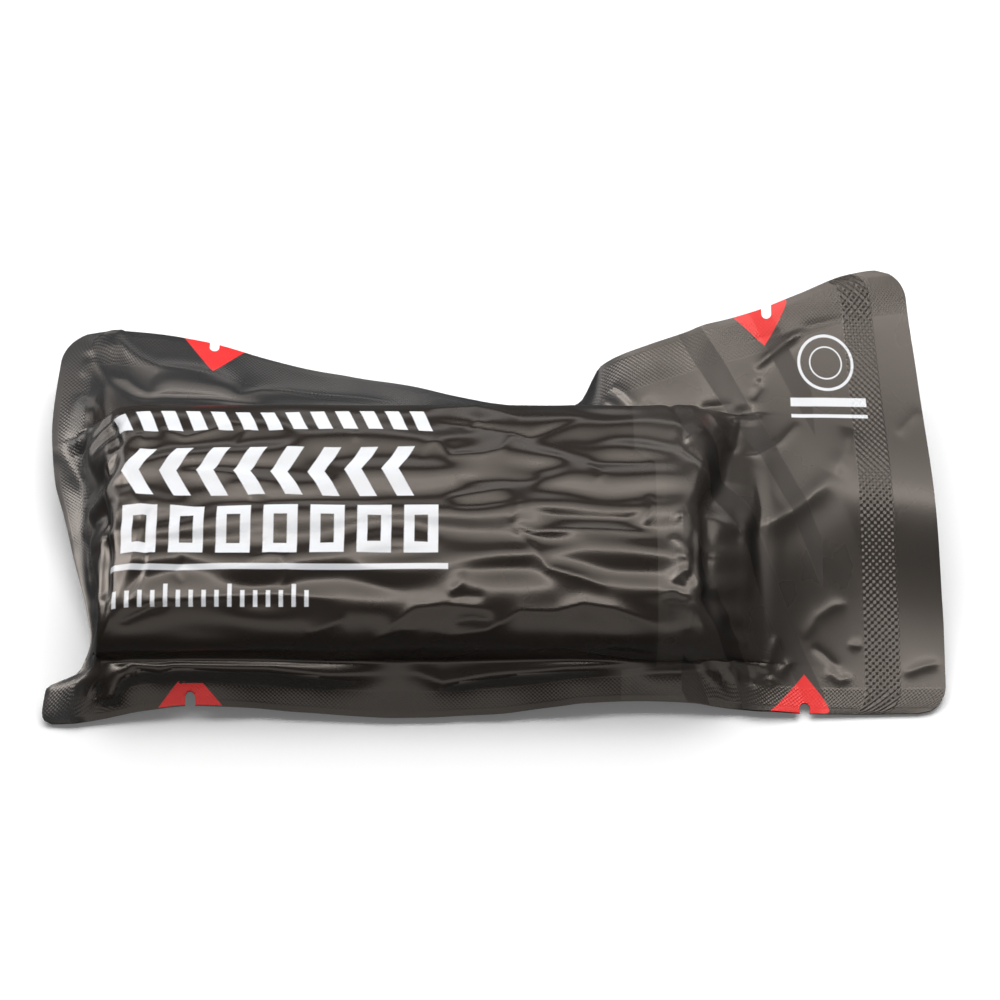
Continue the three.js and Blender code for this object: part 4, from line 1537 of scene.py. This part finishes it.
@dataclass
class PouchFilms:
    """The two films of the pouch, wrinkled over the roll and sealed to each other round it.

    Args:
        form: the pouch's smooth shape.
        finish: the laminate.
        solver: what wrinkles the front film.
        slack: by how much that film is too long.
        notch_width: how wide a tear notch is.
        notch_depth: how far it reaches in.
        notch_steps: the steps of its round end.
        notch_heights: between which heights it cuts.
        seal_reach: how far apart the films count as nearly sealed.
        calm_start: the share of the tail at which the films start to lie calm.
        calm_fade: the length over which they calm down.
        level_passes: how often the calm films are smoothed.
        seal_drop: how far below the smooth shape the wrinkles may go in a seal, in millimetres.
        calm_drop: the same on the tail.
        room: the same over the roll, and what is added beyond its ends.
        room_share: the most of the films' gap that this may be, and what is added beyond the ends.
        left_free: how far inside the roll's left end the film starts to be free.
        right_free: the same at its right end.
        free_fade: the length over which it becomes free.
        least_grain: how far the first bumps are drawn out in a seal.
        sharp_angle: the angle in degrees from which an edge looks sharp.
    """

    form: PouchForm
    finish: FilmFinish
    solver: FilmSolver
    slack: Slack = Slack()
    notch_width: float = 0.0026
    notch_depth: float = 0.0025
    notch_steps: int = 12
    notch_heights: tuple = (-0.02, 0.06)
    seal_reach: float = 1.6 * MM
    calm_start: float = 0.14
    calm_fade: float = 0.014
    level_passes: int = 300
    seal_drop: float = 3.0
    calm_drop: float = 9.0
    room: tuple = (0.7, 2.5)
    room_share: tuple = (0.4, 0.3)
    left_free: float = 9 * MM
    right_free: float = 4 * MM
    free_fade: float = 9 * MM
    least_grain: float = 0.25
    sharp_angle: float = 70.0

    def _calm(self, along: np.ndarray) -> np.ndarray:
        """How calm the film lies along the pouch: 0 over the roll and up to 1 on the tail."""
        share = np.clip((along - Zone.TAIL.at(self.calm_start)) / self.calm_fade, 0.0, 1.0)
        return share * share * (3 - 2 * share)

    def _levelled(self, points: np.ndarray, along: np.ndarray) -> np.ndarray:
        """A film with the bends at the roots of its rims smoothed out on the tail, its edges held.

        Args:
            points: the film's grid of points.
            along: the places of its lines along the pouch.

        Returns:
            The smoothed grid.
        """
        heights = points[..., 2]
        width = points[:, -1:, 1] - points[:, :1, 1]
        share = (points[..., 1] - points[:, :1, 1]) / width
        straight = heights[:, :1] * (1 - share) + heights[:, -1:] * share
        level = smoothed(heights - straight, self.level_passes, 1) + straight
        held = heights + (level - heights) * self._calm(along)
        return np.concatenate([points[..., :2], held[..., None]], -1)

    def _lowest(self, along: np.ndarray, gap: np.ndarray, sealed: np.ndarray) -> np.ndarray:
        """How far below its smooth shape the front film may go.

        Args:
            along: the points' places along the pouch.
            gap: how far apart the films are there.
            sealed: how near each point is to the seal, from 0 to 1.

        Returns:
            Heights below 0.
        """
        roll = Zone.ROLL
        beyond = np.maximum(roll.at(0.0) - along + self.left_free, along - roll.at(1.0) + self.right_free)
        free = np.clip(beyond / self.free_fade, 0.0, 1.0) ** 2
        depth, share = (least + more * free for least, more in (self.room, self.room_share))
        room = np.minimum(depth * MM, gap * share)
        return -(1 - sealed) * room - sealed * self.seal_drop * MM - self._calm(along) * self.calm_drop * MM

    def _folded(self, along: np.ndarray, across: np.ndarray) -> np.ndarray:
        """The heights of the drawn folds, which leave the tail's edges as they are.

        Args:
            along: the points' places along the pouch.
            across: their places across the film.

        Returns:
            The heights.
        """
        raised = sum((crease.height(along, across) for crease in CREASES), np.zeros(across.shape))
        share = (across - across[:, :1]) / (across[:, -1:] - across[:, :1])
        return raised - (raised[:, :1] * (1 - share) + raised[:, -1:] * share) * self._calm(along)

    def shapes(self) -> tuple:
        """Wrinkles the films.

        Returns:
            The outer faces of the front and of the back film, as grids of points.
        """
        form = self.form
        _, _, across = form.arcs(Side.FRONT)
        along = np.broadcast_to(form.lines[:, None], across.shape)
        calm = self._calm(along)
        front, back = (self._levelled(form.film_points(side), along) for side in Side)
        gap = np.maximum(np.linalg.norm(front - back, axis=-1) - 2 * form.film, 0.0)
        sealed = np.exp(-((gap / self.seal_reach) ** 2))
        lowest = self._lowest(along, gap, sealed)
        raised = np.maximum(self._folded(along, across), lowest)
        grain = self.least_grain + (1 - self.least_grain) * (1 - sealed)
        floor = 2 * form.film + form.seal_gap
        excess = self.slack.over(along, sealed)
        wrinkled = self.solver.solve(front, raised, excess, lowest, grain, calm, floor)
        backed = back + (wrinkled - front) * sealed[..., None]
        under = np.where(calm > 0, wrinkled[..., 2] - floor, backed[..., 2])
        backed[..., 2] = np.maximum(np.minimum(backed[..., 2], under), 0.0)
        return wrinkled, backed

    def _faces(self, side: Side) -> list:
        """The faces of one film: a fine outer face, an inner one of half as many steps, and the edge between.

        Args:
            side: which film.

        Returns:
            Lists of point numbers.
        """
        rows, columns = self.form.line_count, self.form.film_shares(side).shape[1]
        half = (columns - 1) // 2 + 1
        outer = np.arange(rows * columns).reshape(rows, columns)
        inner = rows * columns + np.arange(((rows - 1) // 2 + 1) * half).reshape(-1, half)

        def quads(grid: np.ndarray) -> np.ndarray:
            """The quads of a grid, facing up."""
            return np.stack([grid[:-1, :-1], grid[1:, :-1], grid[1:, 1:], grid[:-1, 1:]], -1).reshape(-1, 4)

        def rim(grid: np.ndarray) -> np.ndarray:
            """A grid's outline, anticlockwise seen from above."""
            return np.concatenate([grid[:-1, 0], grid[-1, :-1], grid[:0:-1, -1], grid[0, :0:-1], grid[:1, 0]])

        fine, coarse = rim(outer), rim(inner)
        faces = quads(outer).tolist() + quads(inner)[:, ::-1].tolist()
        for step in range(len(coarse) - 1):
            first, middle, last = (int(fine[2 * step + i]) for i in range(3))
            low, high = int(coarse[step]), int(coarse[step + 1])
            faces += [[middle, first, low], [middle, low, high], [last, middle, high]]
        return faces if side is Side.FRONT else [face[::-1] for face in faces]

    def _maps(self, side: Side) -> dict:
        """The texture maps of one film, for its outer points and then its inner ones.

        Args:
            side: which film.

        Returns:
            Two numbers for each point, by the map's name.
        """
        near_in, far_in, across = self.form.arcs(side)
        along = np.broadcast_to(self.form.lines[:, None], across.shape)
        film, sides = np.stack([along, across], -1), np.stack([near_in, far_in], -1)
        rows, columns = across.shape
        spread = np.stack(np.meshgrid(np.linspace(0, 1, rows), np.linspace(0, 1, columns), indexing="ij"), -1)

        def layered(outer: np.ndarray, inner: np.ndarray) -> np.ndarray:
            """The outer points' values and then the inner points'."""
            return np.concatenate([outer.reshape(-1, 2), inner[::2, ::2].reshape(-1, 2)])

        return {
            BAKE_MAP: layered(*(spread * tile.size + tile.corner for tile in (OUTER_TILE, INNER_TILE))),
            FILM_MAP: layered(film, film),
            SIDES_MAP: layered(sides, sides),
        }

    def _cutters(self) -> bpy.types.Object:
        """The upright slots with round ends that cut the tear notches.

        Returns:
            One object with all of them.
        """
        form = self.form
        radius = self.notch_width / 2
        points, faces = [], []
        for share, far in NOTCHES:
            line = share * form.length
            section = form.section_at(np.array([line]))
            inwards = -1 if far else 1
            edge = float((section.far_edge if far else section.near_edge)[0, 0])
            end = edge + inwards * (self.notch_depth - radius)
            turns = np.linspace(math.pi, math.pi * (1 - inwards), self.notch_steps + 1)
            outline = [(line + radius * math.cos(t), end + radius * math.sin(t)) for t in turns]
            start = edge - inwards * self.notch_depth
            outline += [(line + radius, start), (line - radius, start)]
            count, first = len(outline), len(points)
            for z in self.notch_heights:
                points += [(x + form.origin.x, y + form.origin.y, z) for x, y in outline]
            sides = [[first + i, first + (i + 1) % count, first + count + (i + 1) % count, first + count + i]
                     for i in range(count)]
            bottom = list(range(first + count - 1, first - 1, -1))
            top = list(range(first + count, first + 2 * count))
            loop = sides + [bottom, top]
            faces += [face[::-1] for face in loop] if inwards > 0 else loop
        return mesh_piece("notch_cutters", np.array(points), faces)

    def _build(self, name: str, side: Side, outer: np.ndarray, cutter: bpy.types.Object) -> bpy.types.Object:
        """One film as a closed piece with its notches cut.

        Args:
            name: the piece's name.
            side: which film.
            outer: its outer face, as a grid of points.
            cutter: what cuts the notches.

        Returns:
            The piece.
        """
        inwards = -side.value * grid_normals(outer)
        inner = (outer + inwards * self.form.film)[::2, ::2]
        points = np.concatenate([outer.reshape(-1, 3), inner.reshape(-1, 3)])
        piece = mesh_piece(name, points, self._faces(side), self._maps(side))
        cut = piece.modifiers.new("tear_notches", "BOOLEAN")
        cut.object = cutter
        cut.operation = "DIFFERENCE"
        cut.solver = "MANIFOLD"
        apply_modifiers(piece)
        self._map_sides(piece.data)
        piece.data.set_sharp_from_angle(angle=math.radians(self.sharp_angle))
        return piece

    @staticmethod
    def _map_sides(mesh: bpy.types.Mesh) -> None:
        """Gives each face of the film's edge its own patch of the bake map, and the notches their places.

        Args:
            mesh: the film after its notches are cut.
        """
        def read(data: bpy.types.bpy_prop_collection, name: str, width: int, kind: type) -> np.ndarray:
            """One attribute of a mesh's parts.

            Args:
                data: the parts.
                name: the attribute.
                width: its numbers for each part.
                kind: their type.

            Returns:
                A row for each part.
            """
            values = np.empty(len(data) * width, kind)
            data.foreach_get(name, values)
            return values.reshape(-1, width)

        points = read(mesh.loops, "vertex_index", 1, np.int32)[:, 0]
        starts = read(mesh.polygons, "loop_start", 1, np.int32)[:, 0]
        counts = read(mesh.polygons, "loop_total", 1, np.int32)[:, 0]
        bake = read(mesh.uv_layers[BAKE_MAP].data, "uv", 2, np.float32)
        # 0 for a corner outside both tiles, 1 in the inner face's tile and 2 in the outer face's.
        bottoms = np.array([tile.corner[1] for tile in (INNER_TILE, OUTER_TILE)])
        tile = np.searchsorted(bottoms - TILE_MARGIN, bake[:, 1])
        lowest, highest = np.minimum.reduceat(tile, starts), np.maximum.reduceat(tile, starts)
        side = np.flatnonzero((lowest != highest) | (lowest == 0))
        cells = math.ceil(math.sqrt(len(side)))
        for number, face in enumerate(side):
            turn = 2 * math.pi * np.arange(counts[face]) / counts[face]
            patch = np.stack([np.cos(turn), np.sin(turn)], -1) * PATCH_RADIUS
            patch = (patch + (number % cells, number // cells) + 0.5) / cells
            bake[starts[face]:starts[face] + counts[face]] = patch * SIDE_TILE.size + SIDE_TILE.corner
        mesh.uv_layers[BAKE_MAP].data.foreach_set("uv", bake.ravel())
        known = (lowest > 0).repeat(counts)
        shared = np.maximum(np.bincount(points[known], minlength=len(mesh.vertices)), 1)[:, None]
        for name in (FILM_MAP, SIDES_MAP):
            places = read(mesh.uv_layers[name].data, "uv", 2, np.float32)
            total = np.zeros((len(mesh.vertices), 2), np.float32)
            np.add.at(total, points[known], places[known])
            places[~known] = (total / shared)[points[~known]]
            mesh.uv_layers[name].data.foreach_set("uv", places.ravel())

    def build(self) -> list:
        """Builds and dresses both films.

        Returns:
            The pieces.
        """
        front, back = self.shapes()
        cutter = self._cutters()
        pieces = []
        for name, side, grid, node in (("printed_film_front", Side.FRONT, front, "front_film"),
                                       ("plain_film_back", Side.BACK, back, "back_film")):
            piece = self._build(name, side, grid, cutter)
            material = self.finish.make(name, self.form, side is Side.FRONT)
            piece.data.materials.clear()
            piece.data.materials.append(material)
            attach(piece, "root")
            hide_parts(node)
            LOG.info("%s: %d faces", name, len(piece.data.polygons))
            pieces.append(piece)
        bpy.data.objects.remove(cutter)
        return pieces


@dataclass
class BandageRoll:
    """The wound bandage inside the pouch: one strip that winds inwards from the roll's outside.

    Args:
        form: the pouch, for the roll's sizes.
        finish: the woven bandage.
        layer: how thick the strip is.
        gap: between its turns.
        turns: how often it winds round.
        segments: the steps of one turn.
        end_rounding: over how much of its length the strip's edges are rounded.
        end_stations: where the sections of that rounding lie, as shares of it.
        inner_margin: from each end to the evenly spaced sections.
        inner_sections: how many of those there are.
        rounding_share: how deep the rounding is, as a share of a full one.
        rounding_most: the most of the strip's thickness that it takes.
        end_length: the length over which the roll is drawn in at its ends.
        end_squeeze: how much it is drawn in there, across and in height.
        floor: how high the roll's underside lies.
        sharp_angle: the angle in degrees from which an edge looks sharp.
    """

    form: PouchForm
    finish: BandageFinish
    layer: float = 0.0026
    gap: float = 0.0005
    turns: int = 4
    segments: int = 96
    end_rounding: float = 0.003
    end_stations: tuple = (0.0, 0.3, 0.7, 1.0)
    inner_margin: float = 0.006
    inner_sections: int = 40
    rounding_share: float = 0.4
    rounding_most: float = 0.35
    end_length: float = 0.012
    end_squeeze: tuple = (0.14, 0.40)
    floor: float = 0.0011
    sharp_angle: float = 50.0

    def _outline(self, angle: np.ndarray, inset: np.ndarray) -> np.ndarray:
        """Points of the roll's outline, shrunk inwards and pressed flat underneath.

        Args:
            angle: the points' angles round the roll.
            inset: how far in from the outside each lies.

        Returns:
            Their places across the pouch and their heights.
        """
        form = self.form
        power = 2 / form.squareness
        y = signed_power(np.cos(angle), power) * (form.roll_width / 2 - inset)
        z = form.centre_z + signed_power(np.sin(angle), power) * (form.roll_thickness / 2 - inset)
        return np.stack([y, np.maximum(z, self.floor + inset)], -1)

    def _sections(self) -> tuple:
        """Where the strip's sections lie along the roll.

        Returns:
            Their places, how far the strip's edges are rounded off there and how far the roll is drawn in.
        """
        length, radius = self.form.roll_length, self.end_rounding
        stations = np.array(self.end_stations) * radius
        inner = np.linspace(self.inner_margin, length - self.inner_margin, self.inner_sections)
        along = np.concatenate([stations, inner, length - stations[::-1]])
        end_in = np.minimum(along, length - along)
        rounding = radius - np.sqrt(radius**2 - (radius - np.minimum(end_in, radius)) ** 2)
        rounding = np.minimum(rounding * self.rounding_share, self.layer * self.rounding_most)
        return along, rounding, np.clip(1 - end_in / self.end_length, 0.0, 1.0) ** 2

    def _points(self) -> np.ndarray:
        """The strip's sections as rings of points, one after the other.

        Returns:
            Points in the row frame.
        """
        step = np.arange(self.turns * self.segments + 1)
        angle = 2 * math.pi * step / self.segments
        inset = (self.layer + self.gap) * step / self.segments
        middle = (0.0, self.form.centre_z)
        rings = []
        for x, trim, drawn_in in zip(*self._sections()):
            outer = self._outline(angle, inset + trim)
            inner = self._outline(angle, inset + self.layer - trim)
            ring = np.concatenate([outer, inner[::-1]])
            ring = (ring - middle) * (1 - np.array(self.end_squeeze) * drawn_in) + middle
            rings.append(np.column_stack([np.full(len(ring), x), ring]))
        start = (self.form.origin.x + self.form.left_margin, self.form.origin.y, 0.0)
        return np.concatenate(rings) + start

    def _faces(self, ring_count: int) -> list:
        """The strip's faces, with its two edges closed.

        Args:
            ring_count: how many sections it has.

        Returns:
            Lists of point numbers.
        """
        steps = self.turns * self.segments
        size = 2 * (steps + 1)
        faces = []
        for ring in range(ring_count - 1):
            near, far = ring * size, (ring + 1) * size
            faces += [[near + at, near + (at + 1) % size, far + (at + 1) % size, far + at]
                      for at in range(size)]
        for at in range(steps):
            quad = [at, size - 1 - at, size - 2 - at, at + 1]
            faces += [quad, [(ring_count - 1) * size + i for i in quad[::-1]]]
        return faces

    def build(self) -> bpy.types.Object:
        """Builds and dresses the roll.

        Returns:
            The piece.
        """
        ring_count = 2 * len(self.end_stations) + self.inner_sections
        piece = mesh_piece("wound_bandage", self._points(), self._faces(ring_count))
        piece.data.materials.append(self.finish.make("woven_bandage"))
        piece.data.set_sharp_from_angle(angle=math.radians(self.sharp_angle))
        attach(piece, "root")
        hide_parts("bandage_roll")
        LOG.info("%s: %d faces", piece.name, len(piece.data.polygons))
        return piece


class Reach(Enum):
    """What a light is seen in."""

    ALL = "both"
    MATT = "only what it lights, no reflections"
    SHINE = "only reflections"


@dataclass(frozen=True)
class Softbox:
    """A rectangular light.

    Args:
        name: its name.
        place: where it stands.
        size: its width and height.
        radiance: how bright its face is.
        reach: what it is seen in.
        aim: the point that it faces.
    """

    name: str
    place: tuple
    size: tuple
    radiance: float
    reach: Reach
    aim: tuple = (0.0, 0.0, 0.0)

    def build(self) -> None:
        """Makes the light."""
        data = bpy.data.lights.new(self.name, "AREA")
        data.shape = "RECTANGLE"
        data.size, data.size_y = self.size
        data.energy = self.radiance * math.pi * self.size[0] * self.size[1]
        lamp = bpy.data.objects.new(self.name, data)
        lamp.location = self.place
        lamp.rotation_mode = "QUATERNION"
        lamp.rotation_quaternion = (Vector(self.aim) - Vector(self.place)).to_track_quat("-Z", "Y")
        lamp.visible_glossy = self.reach is not Reach.MATT
        lamp.visible_diffuse = self.reach is not Reach.SHINE
        bpy.context.scene.collection.objects.link(lamp)


@dataclass
class Studio:
    """The white table, the softboxes over it and the camera.

    Args:
        target: where the camera looks.
        elevation: the camera's angle above the table, in degrees.
        distance: from the camera to what it looks at.
        lens: its focal length in millimetres.
        sensor: its sensor's width in millimetres.
        softboxes: the lights.
        ambient: how bright the surroundings are.
        table_reach: half the table's width.
        table_drop: how far the table lies below the pack.
        table_white: how white the table is.
        table_glow: how much light of its own it adds.
    """

    target: tuple = (0.0023, 0.00265, 0.010)
    elevation: float = 58.0
    distance: float = 0.9
    lens: float = 124.3
    sensor: float = 36.0
    softboxes: tuple = (
        Softbox("overhead", (0.0, 0.215, 1.0), (1.7, 0.37), 3.2, Reach.ALL, (0.0, 0.215, 0.0)),
        Softbox("overhead_far", (0.0, 0.5625, 1.0), (1.7, 0.325), 1.9, Reach.ALL, (0.0, 0.5625, 0.0)),
        Softbox("key", (0.1, 0.7, 0.95), (1.2, 0.6), 4.4, Reach.MATT),
        Softbox("overhead_strip", (0.0, -0.03, 1.0), (1.7, 0.12), 11.0, Reach.SHINE, (0.0, -0.03, 0.0)),
        Softbox("left_panel", (-0.95, 0.2, 0.75), (0.6, 0.9), 10.0, Reach.SHINE),
        Softbox("backdrop", (0.0, 1.3, 0.42), (2.6, 0.5), 1.9, Reach.SHINE),
        Softbox("front_panel", (0.0, -0.95, 0.5), (1.6, 0.6), 1.2, Reach.SHINE),
        Softbox("left_low", (-0.9, 0.6, 0.1), (0.5, 0.7), 2.5, Reach.SHINE),
    )
    ambient: float = 0.12
    table_reach: float = 4.0
    table_drop: float = 0.0001
    table_white: float = 0.93
    table_glow: float = 0.1

    def camera(self) -> None:
        """Stands the camera at the photograph's angle."""
        data = bpy.data.cameras.new("camera")
        data.lens = self.lens
        data.sensor_width = self.sensor
        camera = bpy.data.objects.new("camera", data)
        rise = math.radians(self.elevation)
        back = Vector((0.0, -math.cos(rise), math.sin(rise)))
        camera.location = Vector(self.target) + back * self.distance
        camera.rotation_mode = "QUATERNION"
        camera.rotation_quaternion = (-back).to_track_quat("-Z", "Y")
        bpy.context.scene.collection.objects.link(camera)
        bpy.context.scene.camera = camera

    def table(self) -> None:
        """Lays the plain white table."""
        reach = self.table_reach
        points = np.array([(x, y, -self.table_drop) for x, y in
                           ((-reach, -reach), (reach, -reach), (reach, reach), (-reach, reach))])
        table = mesh_piece("table", points, [[0, 1, 2, 3]])
        surface = {
            "Base Color": (self.table_white,) * 3 + (1.0,),
            "Roughness": 0.9,
            "Emission Color": (1.0, 1.0, 1.0, 1.0),
            "Emission Strength": self.table_glow,
        }
        table.data.materials.append(Shader("white_table").finish(surface))
        table.visible_glossy = False

    def surroundings(self) -> None:
        """Sets the even light from all round and the plain look of the picture."""
        world = bpy.data.worlds.new("studio")
        bpy.context.scene.world = world
        world.use_nodes = True
        background = world.node_tree.nodes["Background"]
        background.inputs["Color"].default_value = (1.0, 1.0, 1.0, 1.0)
        background.inputs["Strength"].default_value = self.ambient
        bpy.context.scene.view_settings.view_transform = "Standard"

    def build(self) -> None:
        """Sets up the whole studio."""
        self.camera()
        self.table()
        for softbox in self.softboxes:
            softbox.build()
        self.surroundings()


def main() -> None:
    """Builds every sub-assembly in order."""
    logging.basicConfig(level=logging.INFO, format="%(message)s")
    low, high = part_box("bandage_roll")
    form = PouchForm(origin=Vector((low.x - Zone.ROLL.start, high.y - PouchForm.roll_width / 2, 0.0)))
    solver = FilmSolver()
    Studio().build()
    PouchFilms(form, FilmFinish(), solver).build()
    BandageRoll(form, BandageFinish()).build()


if __name__ == "__main__":
    main()
